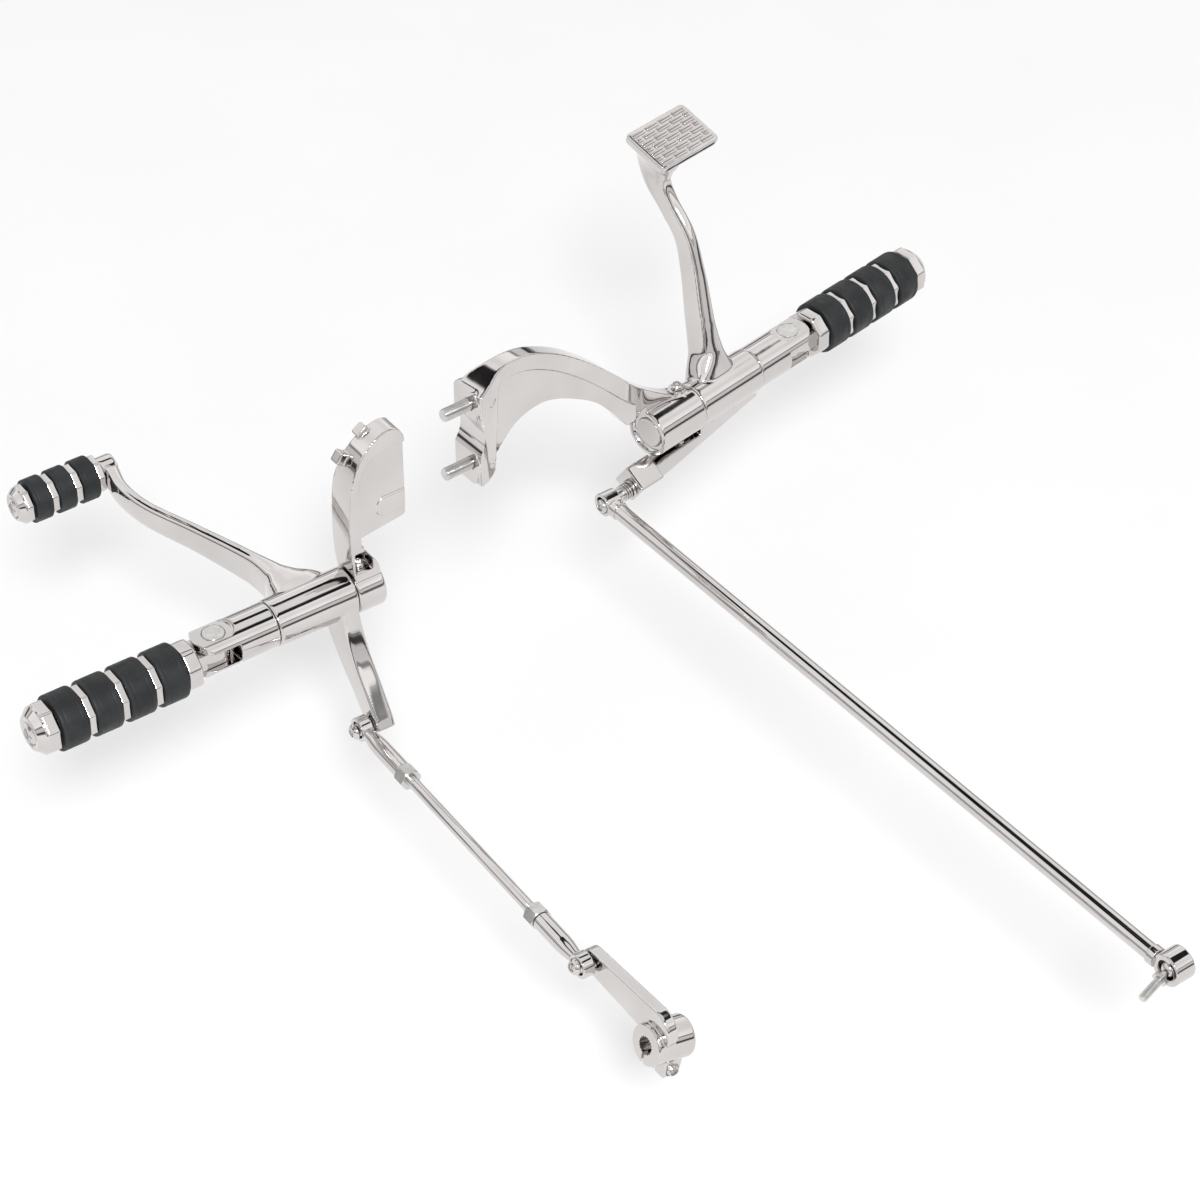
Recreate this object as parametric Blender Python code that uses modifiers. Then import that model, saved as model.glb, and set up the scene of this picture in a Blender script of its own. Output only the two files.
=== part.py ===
"""Forward foot controls for a motorcycle: shift side and brake side.

Metres.  +X is the rider's right, +Y is forward and +Z is up.  The origin is the middle
of the face by which the shift-side bracket bolts to the motorcycle's frame.
"""
from math import atan2, cos, hypot, pi, radians, sin, sqrt

import bmesh
import bpy
from mathutils import Vector

GAP = 0.0003                    # clearance between neighbouring pieces

# Peg shaft, hub and clevis, the same on both sides
SHAFT_R = 0.0110
BUSH_WALL = 0.0014
BOSS_R = 0.0175
HUB_R = 0.0172
HUB_END_R = 0.0165
HUB_LENGTH = 0.0597
CLEVIS_R = 0.0159
PIN_REACH = 0.0412              # clevis shoulder to fold pin
EAR_TOP = 0.0128                # height of the milled flats above the axis
FLAT_LENGTH = 0.0140            # flats run this far inboard of the pin
SLOT_DEPTH = 0.0120             # slot runs this far inboard of the pin
TONGUE = 0.0127                 # thickness of the peg's tongue
TONGUE_R = 0.0100
PIN_R = 0.00475
PIN_HEAD_R = 0.0076
PIN_HEAD = 0.0017
CLIP_R = 0.0080
CLIP = 0.0010
GROOVE_DEPTH = 0.0010
PIN_TAIL = 0.0016

# Foot peg, measured outboard from the fold pin
COLLAR_START = 0.0172
COLLAR = 0.0115
COLLAR_AF = 0.0330              # across the flats
CORE_R = 0.0120
RING_R = 0.0194
RING = 0.0200
RINGS = 4
RIB = 0.0038
RIB_AF = 0.0345
CAP = 0.0085
CAP_AF = 0.0340
DOME = 0.0060
DOME_R = 0.0120
CAP_SCREW_R = 0.0083
CAP_SHANK_R = 0.0040
CAP_SHANK = 0.0180

# Toe peg, measured outboard from the tip of the shift lever
TOE_COLLAR = 0.0050
TOE_COLLAR_AF = 0.0260
TOE_CORE_R = 0.0090
TOE_RING_R = 0.0155
TOE_RING = 0.0132
TOE_RINGS = 3
TOE_RIB = 0.0043
TOE_RIB_AF = 0.0266
TOE_CAP = 0.0050
TOE_CAP_AF = 0.0265
TOE_DOME = 0.0048
TOE_DOME_R = 0.0095
TOE_SCREW_R = 0.0072
TOE_SHANK_R = 0.0040
TOE_THREAD = 0.0100             # thread that the lever's tip takes

# Shift-side bracket
LEFT_SEAM = 0.0185              # boss face, outboard of the bracket's centre line
LEFT_BOSS_END = 0.0030
LEFT_BORE = 0.0170
MOUNT_X = 0.0255
MOUNT_Z = 0.0830
MOUNT_LOW = 0.0500
MOUNT_HIGH = 0.1150
MOUNT_HOLE_R = 0.0037
MOUNT_HOLE_DEPTH = 0.0190
LEFT_HOLES = (0.0630, 0.1020)
RIM = 0.0230                    # rim thickness along Y, on both brackets
LEFT_WEB = 0.0130
LEFT_CREST = 0.0150             # rim thickness at the bracket's top
LEFT_PEG_DROP = 0.0040          # peg's axis below the clevis axis
RIGHT_PEG_DROP = 0.0005
LUG_R = 0.0100
LEFT_LUG_R = 0.0075
LEFT_LUG = 0.0154               # thickness of the lug round the lower hole

# Brake-side bracket, in its own frame, which is yawed against the shift side
RIGHT_PLACE = (0.2421, 0.0229)
RIGHT_YAW = radians(10.5)
RIGHT_BOSS = 0.0430
RIGHT_WEB = 0.0085
RIGHT_WAIST = 0.0120            # rim thickness along the crest of the C
RIGHT_RIM = 0.0120              # rim depth in the bracket's plane
ROOT_CLEAR_R = 0.0222           # the arm stays this far from the axis inboard of the boss
POCKET_END = -0.0150            # the pockets run this close to the boss
DISC_R = 0.0145
DISC_DEPTH = 0.0030
END_X = -0.1690
END_YAW = radians(-7.5)
STUD_Z = (0.0690, 0.1175)
STUD_Y = 0.0
PAD_FACE = (-0.0070, 0.0160)    # reach of the end face along Y
PAD_SPAN = (0.0540, 0.1290)
PAD_DEPTH = 0.0120
STUD_R = 0.0045
STUD_OUT = 0.0210
STUD_IN = 0.0160

# Cross screws in the tops of the bosses
LOCK_R = 0.0042
LOCK_HEAD = 0.0034
LOCK_SHANK_R = 0.0025
LOCK_PAD_R = 0.0062
LOCK_PAD_TOP = 0.0195
LEFT_LOCK = (-0.0105, -0.0030)
NOTCH_R = 0.0066                # clearance for the screw at the rim's foot
NOTCH_TOP = 0.0365
RIGHT_LOCK = (0.0340, 0.0040)
STOP_R = 0.0026
STOP_PLACE = (0.0280, -0.0060)
STOP_LENGTH = 0.0070

# Shift lever
TIP = (-0.0900, 0.1920, 0.0100)
TIP_FACE = -0.0964
TIP_BACK = -0.0840
TIP_R = 0.0105
TOE_LOCK_R = 0.0028
TOE_LOCK_OUT = 0.0034
LINK_X = (-0.0340, -0.0190)

# Shift rod and its ends
ROD_PIVOT = (-0.0400, -0.0480, -0.0760)
ROD_YAW = radians(-1.5)
ROD_SPAN = 0.2640
ROD_R = 0.00397
ROD_THREAD = 0.0200
SHANK_R = 0.00635
UPPER_SHANK = 0.0515
LOWER_SHANK = 0.0465
JAM_R = 0.0080
JAM = 0.0100
EYE_R = 0.0086
EYE = 0.0084
BALL_R = 0.0056
BALL = 0.0108
EYE_SCREW_R = 0.0027
BUTTON_R = 0.0056
BUTTON = 0.0036

# Shifter arm, tilted with the shaft that it clamps
ARM_TILT = radians(14.0)
ARM = 0.0080
ARM_END_R = 0.0095
CLAMP_Y = -0.0670
CLAMP_Z = -0.0146
CLAMP_FACE = 0.0036
CLAMP = 0.0290
CLAMP_R = 0.01395
SPLINE_R = 0.00645
SPLINE_TOOTH = 0.0008
SPLINES = 18
SPLIT = 0.0024
PINCH_WIDTH = 0.0190
PINCH_DROP = 0.0230
PINCH_START = 0.0120
PINCH = 0.0130
PINCH_R = 0.0025
PINCH_HEAD_R = 0.0044
PINCH_HEAD = 0.0042

# Brake pedal
PAD = (0.0568, 0.0384, 0.0060)
PAD_PLACE = (0.0865, 0.0610, 0.1740)
PAD_TILT = radians(18.0)
PAD_ROWS = 7
PAD_RAISE = 0.0012
PAD_BORDER = 0.0022
PAD_BAR = 0.0033
LINK_GAP = 0.0015
CRANK = 0.0120                  # crank thickness along Y
CRANK_BLOCK = (0.0225, 0.0200, 0.0190)
CRANK_CENTRE = (-0.0125, -0.0055, -0.0285)
CRANK_TILT = radians(35.0)

# Brake rod
NEAR_EYE = (-0.0450, -0.0070, -0.0310)
BRAKE_YAW = radians(-8.5)
BRAKE_PITCH = radians(0.4)
BRAKE_SPAN = 0.5609
BRAKE_R = 0.0058
NEAR_R = 0.0086
NEAR_WIDTH = 0.0122
FAR_R = 0.0112
FAR_WIDTH = 0.0150
SOCKET_R = 0.0068
SOCKET_DEPTH = 0.0085
FERRULE_R = 0.0068
FERRULE = 0.0060
FRONT_BOLT_R = 0.0030
FRONT_HEAD_R = 0.0050
FRONT_THREAD = 0.0140
FRONT_NECK_R = 0.0042
FRONT_FLANGE_R = 0.0068
FRONT_FLANGE = 0.0022
REAR_BALL_R = 0.0056
REAR_NECK_R = 0.0026
REAR_NECK = 0.0085
REAR_COLLAR_AF = 0.0100
REAR_COLLAR = 0.0026
REAR_STUD_R = 0.0030
REAR_STUD = 0.0165
REAR_DROOP = radians(16.0)      # the loose ball stud hangs this much

# Boolean options for the pieces that need them
SELF_CROSSING = ("left_bracket", "left_peg_mount", "right_peg_mount", "brake_rod")
HOLE_TOLERANT = ("shifter_arm",)

SIDES = 24
FEW = 16

ALONG_X = (0, pi / 2, 0)
ALONG_Y = (-pi / 2, 0, 0)
UPRIGHT = (pi / 2, 0, 0)
NO_TURN = (0, 0, 0)
HERE = (0, 0, 0)

FINISHES = {
    "chrome": ((0.78, 0.78, 0.79, 1.0), 0.07, 1.0),
    "zinc": ((0.55, 0.55, 0.53, 1.0), 0.34, 1.0),
    "steel": ((0.50, 0.50, 0.51, 1.0), 0.25, 1.0),
    "bronze": ((0.56, 0.38, 0.20, 1.0), 0.35, 1.0),
    "rubber": ((0.030, 0.036, 0.038, 1.0), 0.62, 0.0),
}


def clear():
    for obj in list(bpy.data.objects):
        bpy.data.objects.remove(obj, do_unlink=True)


def collection(name):
    group = bpy.data.collections.new(name)
    bpy.context.scene.collection.children.link(group)
    return group


clear()
PARTS = collection("motorcycle_forward_controls")
CUTTERS = collection("cutters")


def empty(name, parent, location, rotation=NO_TURN):
    obj = bpy.data.objects.new(name, None)
    obj.empty_display_size = 0.02
    obj.parent = parent
    obj.location = location
    obj.rotation_euler = rotation
    PARTS.objects.link(obj)
    return obj


def finish(name, kind):
    colour, roughness, metallic = FINISHES[kind]
    mat = bpy.data.materials.new(name + "_" + kind)
    mat.use_nodes = True
    shader = mat.node_tree.nodes["Principled BSDF"]
    shader.inputs["Base Color"].default_value = colour
    shader.inputs["Roughness"].default_value = roughness
    shader.inputs["Metallic"].default_value = metallic
    mat.diffuse_color = colour
    return mat


def smooth_shading(mesh, angle=32.0):
    mesh.shade_smooth()
    mesh.set_sharp_from_angle(angle=radians(angle))


def solid(name, bm):
    """Object from a bmesh, not placed yet."""
    mesh = bpy.data.meshes.new(name)
    bm.to_mesh(mesh)
    bm.free()
    smooth_shading(mesh)
    return bpy.data.objects.new(name, mesh)


def baked(obj, flat=False):
    """Plain mesh object with an object's evaluated shape; the source object goes."""
    name = obj.name
    CUTTERS.objects.link(obj)
    bpy.context.view_layer.update()
    graph = bpy.context.evaluated_depsgraph_get()
    mesh = bpy.data.meshes.new_from_object(obj.evaluated_get(graph))
    bm = bmesh.new()
    bm.from_mesh(mesh)
    bmesh.ops.remove_doubles(bm, verts=bm.verts, dist=0.000002)
    if flat:
        bmesh.ops.dissolve_limit(bm, angle_limit=radians(0.5), verts=bm.verts, edges=bm.edges)
    bmesh.ops.recalc_face_normals(bm, faces=bm.faces)
    bm.to_mesh(mesh)
    bm.free()
    smooth_shading(mesh)
    matrix = obj.matrix_world.copy()
    bpy.data.objects.remove(obj, do_unlink=True)
    result = bpy.data.objects.new(name, mesh)
    result.matrix_world = matrix
    return result


def place(obj, parent, location=HERE, rotation=NO_TURN):
    obj.parent = parent
    obj.location = location
    obj.rotation_euler = rotation
    return obj


def part(obj, kind, parent, location=HERE, rotation=NO_TURN):
    """Place an object as a piece of the product."""
    place(obj, parent, location, rotation)
    obj.data.materials.clear()
    obj.data.materials.append(finish(obj.name, kind))
    PARTS.objects.link(obj)
    return obj


def combine(target, tools, operation):
    for tool in tools:
        tool.hide_render = True
        tool.display_type = "WIRE"
        if not tool.users_collection:
            CUTTERS.objects.link(tool)
        mod = target.modifiers.new(tool.name, "BOOLEAN")
        mod.operation = operation
        mod.solver = "EXACT"
        mod.object = tool


def unite(target, *tools):
    combine(target, tools, "UNION")


def cut(target, *tools):
    combine(target, tools, "DIFFERENCE")


def turned(name, stations, sides=SIDES, start=0.0):
    """Turn (distance along the axis, radius) pairs, listed from the far end back."""
    closed = all(radius > 0 for _, radius in stations)
    verts = [(r * cos(start), r * sin(start), z) for z, r in stations]
    edges = [(i, i + 1) for i in range(len(verts) - 1)]
    if closed:
        edges.append((len(verts) - 1, 0))
    mesh = bpy.data.meshes.new(name)
    mesh.from_pydata(verts, edges, [])
    obj = bpy.data.objects.new(name, mesh)
    mod = obj.modifiers.new("Turn", "SCREW")
    mod.axis = "Z"
    mod.angle = 2 * pi
    mod.steps = sides
    mod.render_steps = sides
    mod.use_merge_vertices = True
    mod.merge_threshold = 0.000001
    return baked(obj)


def rod(name, radius, length, chamfer=0.0, sides=SIDES, start=0.0):
    """Round bar from 0 to length along its axis."""
    if not chamfer:
        return turned(name, [(length, 0), (length, radius), (0, radius), (0, 0)], sides, start)
    inner = radius - chamfer
    return turned(name, [(length, 0), (length, inner), (length - chamfer, radius),
                         (chamfer, radius), (0, inner), (0, 0)], sides, start)


def octagon(name, across, length, chamfer):
    """Eight-sided bar with a flat on top once it lies along X."""
    return rod(name, across / 2 / cos(pi / 8), length, chamfer, 8, pi / 8)


def hexagon(name, across, length, chamfer=0.0):
    return rod(name, across / 2 / cos(pi / 6), length, chamfer, 6, 0.0)


def box(name, size):
    bm = bmesh.new()
    bmesh.ops.create_cube(bm, size=1.0)
    bmesh.ops.scale(bm, vec=size, verts=bm.verts)
    return solid(name, bm)


def soft_box(name, size, width, segments=2):
    obj = box(name, size)
    bevel(obj, width, segments)
    return obj


def bevel(obj, width, segments=2, angle=40.0):
    mod = obj.modifiers.new("Soft edges", "BEVEL")
    mod.width = width
    mod.segments = segments
    mod.limit_method = "ANGLE"
    mod.angle_limit = radians(angle)
    mod.harden_normals = True


def plate(name, outline, thickness):
    """Flat outline in XY, extruded evenly to both sides along Z."""
    curve = bpy.data.curves.new(name, "CURVE")
    curve.dimensions = "2D"
    curve.fill_mode = "BOTH"
    curve.extrude = thickness / 2
    spline = curve.splines.new("POLY")
    spline.points.add(len(outline) - 1)
    for point, (x, y) in zip(spline.points, outline):
        point.co = (x, y, 0, 1)
    spline.use_cyclic_u = True
    return baked(bpy.data.objects.new(name, curve), flat=True)


def through(points, steps=4):
    """Smooth open curve through the points (centripetal Catmull-Rom)."""
    pts = [Vector(p) for p in points]
    pts = [2 * pts[0] - pts[1]] + pts + [2 * pts[-1] - pts[-2]]
    out = []
    for a, b, c, d in zip(pts, pts[1:], pts[2:], pts[3:]):
        t0 = 0.0
        t1 = t0 + sqrt((b - a).length)
        t2 = t1 + sqrt((c - b).length)
        t3 = t2 + sqrt((d - c).length)
        for i in range(steps):
            t = t1 + (t2 - t1) * i / steps
            ab = a.lerp(b, (t - t0) / (t1 - t0))
            bc = b.lerp(c, (t - t1) / (t2 - t1))
            cd = c.lerp(d, (t - t2) / (t3 - t2))
            abc = ab.lerp(bc, (t - t0) / (t2 - t0))
            bcd = bc.lerp(cd, (t - t1) / (t3 - t1))
            out.append(abc.lerp(bcd, (t - t1) / (t2 - t1)))
    out.append(pts[-2])
    return out


def arc(cx, cy, radius, first, last, steps):
    return [(cx + radius * cos(first + (last - first) * i / steps),
             cy + radius * sin(first + (last - first) * i / steps)) for i in range(steps + 1)]


def swept(name, stations, up, sides=12, power=3.0, steps=3):
    """Loft of superellipses.  Stations are (point, half width, half height)."""
    path = through([p for p, _, _ in stations], steps)
    sizes = through([(w, h) for _, w, h in stations], steps)
    up = Vector(up)
    bm = bmesh.new()
    rings = []
    for i, centre in enumerate(path):
        ahead = path[min(i + 1, len(path) - 1)] - path[max(i - 1, 0)]
        ahead.normalize()
        side = ahead.cross(up).normalized()
        lift = side.cross(ahead)
        w, h = sizes[i]
        ring = []
        for k in range(sides):
            a = 2 * pi * (k + 0.5) / sides
            u = abs(cos(a)) ** (2 / power) * (1 if cos(a) > 0 else -1)
            v = abs(sin(a)) ** (2 / power) * (1 if sin(a) > 0 else -1)
            ring.append(bm.verts.new(centre + side * (w * u) + lift * (h * v)))
        rings.append(ring)
    for low, high in zip(rings, rings[1:]):
        for k in range(sides):
            n = (k + 1) % sides
            bm.faces.new((low[k], low[n], high[n], high[k]))
    bm.faces.new(rings[0])
    bm.faces.new(rings[-1])
    bmesh.ops.recalc_face_normals(bm, faces=bm.faces)
    return solid(name, bm)


def button_screw(name, radius, height, shank_r, shank, key=0.55, crown=0.35):
    """Domed socket screw; the head sits on 0 and the shank runs down from it."""
    rise = [(height, 0), (height, radius * crown), (height * 0.86, radius * 0.66),
            (height * 0.55, radius * 0.90), (height * 0.25, radius), (0, radius)]
    tail = [(0, shank_r), (-shank + shank_r * 0.2, shank_r), (-shank, shank_r * 0.8), (-shank, 0)]
    screw = turned(name, rise + tail, FEW)
    socket = hexagon(name + "_socket", radius * key, height)
    place(socket, screw, (0, 0, height * 0.40))
    cut(screw, socket)
    return screw


# Stations along the hub axis, shared by both sides

HUB_START = GAP
HUB_STOP = GAP + HUB_LENGTH
SHOULDER = HUB_STOP + GAP
PIN_AT = SHOULDER + PIN_REACH
BORE_R = SHAFT_R + GAP
BUSH_R = BORE_R + BUSH_WALL
HUB_BORE_R = BUSH_R + GAP
SLOT = TONGUE + 2 * GAP


def peg_mount(name, hub, back):
    """Clevis and pivot shaft in one turned and milled piece."""
    end = PIN_AT + CLEVIS_R
    chamfer = 0.0008
    mount = turned(name, [(end, 0), (end, CLEVIS_R), (SHOULDER + chamfer, CLEVIS_R),
                          (SHOULDER, CLEVIS_R - chamfer), (SHOULDER, SHAFT_R),
                          (chamfer - back, SHAFT_R), (-back, SHAFT_R - chamfer), (-back, 0)])
    part(mount, "chrome", hub, HERE, ALONG_X)
    reach = 3 * CLEVIS_R
    flat_start = PIN_AT - FLAT_LENGTH
    for label, side in (("upper", 1), ("lower", -1)):
        tool = place(box(name + "_flat_" + label, (reach, reach, CLEVIS_R)), hub,
                     (flat_start + reach / 2, 0, side * (EAR_TOP + CLEVIS_R / 2)))
        cut(mount, tool)
    slot = place(box(name + "_slot", (reach, reach, SLOT)), hub,
                 (PIN_AT - SLOT_DEPTH + reach / 2, 0, 0))
    rim = arc(0, 0, CLEVIS_R, pi / 2, -pi / 2, 16)
    far = 2 * CLEVIS_R
    nose = place(plate(name + "_nose", rim + [(0, -far), (far, -far), (far, far), (0, far)], reach),
                 hub, (PIN_AT, 0, 0))
    hole = place(rod(name + "_hole", PIN_R + GAP, reach, 0, 24), hub, (PIN_AT, 0, -reach / 2))
    seat = place(rod(name + "_head_seat", PIN_HEAD_R + GAP, reach, 0, 24), hub,
                 (PIN_AT, 0, EAR_TOP - PIN_HEAD))
    cut(mount, slot, nose, hole, seat)
    return mount


def bush(name, hub):
    start = HUB_START + GAP
    stop = HUB_STOP - GAP
    sleeve = turned(name, [(stop, BORE_R), (stop, BUSH_R), (start, BUSH_R), (start, BORE_R)])
    return part(sleeve, "bronze", hub, HERE, ALONG_X)


def fold_pin(name, peg):
    head = EAR_TOP - PIN_HEAD + GAP
    groove_top = -EAR_TOP
    groove_low = -EAR_TOP - CLIP - 2 * GAP
    groove_r = PIN_R - GROOVE_DEPTH
    tail = groove_low - PIN_TAIL
    soft = PIN_HEAD * 0.35
    pin = turned(name, [(head + PIN_HEAD, 0), (head + PIN_HEAD, PIN_HEAD_R - soft),
                        (head + PIN_HEAD - soft, PIN_HEAD_R), (head, PIN_HEAD_R),
                        (head, PIN_R), (groove_top, PIN_R), (groove_top, groove_r),
                        (groove_low, groove_r), (groove_low, PIN_R), (tail + GAP, PIN_R),
                        (tail, PIN_R - GAP), (tail, 0)], 20)
    return part(pin, "zinc", peg)


def pin_clip(name, peg):
    inner = PIN_R - GROOVE_DEPTH + GAP
    mouth = radians(40)
    outline = arc(0, 0, CLIP_R, mouth, 2 * pi - mouth, 18)
    outline += arc(0, 0, inner, 2 * pi - mouth, mouth, 14)
    return part(plate(name, outline, CLIP), "zinc", peg, (0, 0, -EAR_TOP - GAP - CLIP / 2))


def rings(prefix, frame, start, count, width, rib, radius, bore):
    soft = radius * 0.07
    pitch = width + rib + 2 * GAP
    for i in range(count):
        ring = turned(prefix + "_ring_" + str(i + 1),
                      [(width, bore), (width, radius - soft), (width - soft, radius), (soft, radius),
                       (0, radius - soft), (0, bore)], 24)
        part(ring, "rubber", frame, (start + i * pitch, 0, 0), ALONG_X)
    return start + count * pitch - rib - 2 * GAP


def core(name, frame, start, collar, collar_af, core_r, count, width, rib, rib_af, chamfer):
    """Peg core: collar, shaft and the ribs that keep the rings apart."""
    pitch = width + rib + 2 * GAP
    first = start + collar + GAP
    stop = first + count * pitch - rib - 2 * GAP
    inside = start + collar / 2
    base = rod(name, core_r, stop - inside)
    part(base, "chrome", frame, (inside, 0, 0), ALONG_X)
    neck = octagon(name + "_collar", collar_af, collar, chamfer)
    unite(base, place(neck, frame, (start, 0, 0), ALONG_X))
    for i in range(count - 1):
        at = first + (i + 1) * pitch - rib - GAP
        bar = octagon(name + "_rib_" + str(i + 1), rib_af, rib, rib * 0.16)
        unite(base, place(bar, frame, (at, 0, 0), ALONG_X))
    return base, first, stop


def cap(name, frame, start, length, across, dome, dome_r, screw_r, shank_r):
    """Eight-sided end cap with a domed face and a seat for the screw's head."""
    top = length + dome
    wide = across / 2 * 0.98
    base = turned(name, [(top, 0), (top, dome_r), (top - dome * 0.16, dome_r + (wide - dome_r) * 0.45),
                         (top - dome * 0.50, dome_r + (wide - dome_r) * 0.85),
                         (top - dome * 0.92, wide), (length * 0.4, wide), (length * 0.4, 0)], 24)
    part(base, "chrome", frame, (start, 0, 0), ALONG_X)
    ring = octagon(name + "_octagon", across, length, length * 0.14)
    unite(base, place(ring, frame, (start, 0, 0), ALONG_X))
    seat = rod(name + "_seat", screw_r + 2 * GAP, dome * 2)
    hole = rod(name + "_hole", shank_r + GAP, top * 3)
    cut(base, place(seat, frame, (start + top - dome * 0.45, 0, 0), ALONG_X),
        place(hole, frame, (start - top, 0, 0), ALONG_X))
    return start + top - dome * 0.45


def foot_peg(side, fold, drop):
    """Peg that folds about its pin; fold is the frame on the pin, +X outboard."""
    peg = empty(side + "_peg_axis", fold, (0, 0, -drop))
    fold_pin(side + "_peg_pin", fold)
    pin_clip(side + "_pin_clip", fold)
    base, first, stop = core(side + "_peg_core", peg, COLLAR_START, COLLAR, COLLAR_AF, CORE_R,
                             RINGS, RING, RIB, RIB_AF, 0.0014)
    edge = COLLAR_START + COLLAR / 2
    outline = [(edge, -TONGUE_R)] + [(edge, TONGUE_R)] + arc(0, 0, TONGUE_R, pi / 2, 3 * pi / 2, 12)
    tongue = plate(side + "_tongue", outline, TONGUE)
    hole = place(rod(side + "_tongue_hole", PIN_R + GAP, 2 * TONGUE, 0, 24), fold, (0, 0, -TONGUE))
    unite(base, place(tongue, fold))
    tap = rod(side + "_tap", CAP_SHANK_R + GAP, 2 * CAP_SHANK, 0, FEW)
    cut(base, hole, place(tap, peg, (stop - CAP_SHANK, 0, 0), ALONG_X))
    rings(side, peg, first, RINGS, RING, RIB, RING_R, CORE_R + GAP)
    seat = cap(side + "_peg_cap", peg, stop + GAP, CAP, CAP_AF, DOME, DOME_R, CAP_SCREW_R, CAP_SHANK_R)
    shank = seat - stop + CAP_SHANK - 2 * GAP
    screw = button_screw(side + "_cap_screw", CAP_SCREW_R, DOME * 0.62, CAP_SHANK_R, shank, 0.62)
    part(screw, "chrome", peg, (seat + GAP, 0, 0), ALONG_X)


def lock_screw(name, frame, spot):
    """Socket screw that holds the peg shaft in its boss."""
    x, y = spot
    depth = LOCK_PAD_TOP - sqrt(BORE_R ** 2 - y ** 2) - GAP
    screw = button_screw(name, LOCK_R, LOCK_HEAD, LOCK_SHANK_R, depth, 0.60, 0.72)
    part(screw, "chrome", frame, (x, y, LOCK_PAD_TOP + GAP))


def lock_pad(name, frame, spot):
    x, y = spot
    pad = place(rod(name + "_lock_pad", LOCK_PAD_R, LOCK_PAD_TOP / 2, 0.0005, FEW), frame,
                (x, y, LOCK_PAD_TOP / 2))
    hole = place(rod(name + "_lock_hole", LOCK_SHANK_R + GAP, LOCK_PAD_TOP, 0, 16), frame, (x, y, BORE_R / 2))
    return pad, hole


# Shift side

shift_side = empty("shift_side", None, (-MOUNT_X, 0, -MOUNT_Z))
left_hub = empty("left_hub_axis", shift_side, (-LEFT_SEAM, 0, 0), (0, 0, pi))
left_peg = empty("left_fold_axis", left_hub, (PIN_AT, 0, 0))


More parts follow.
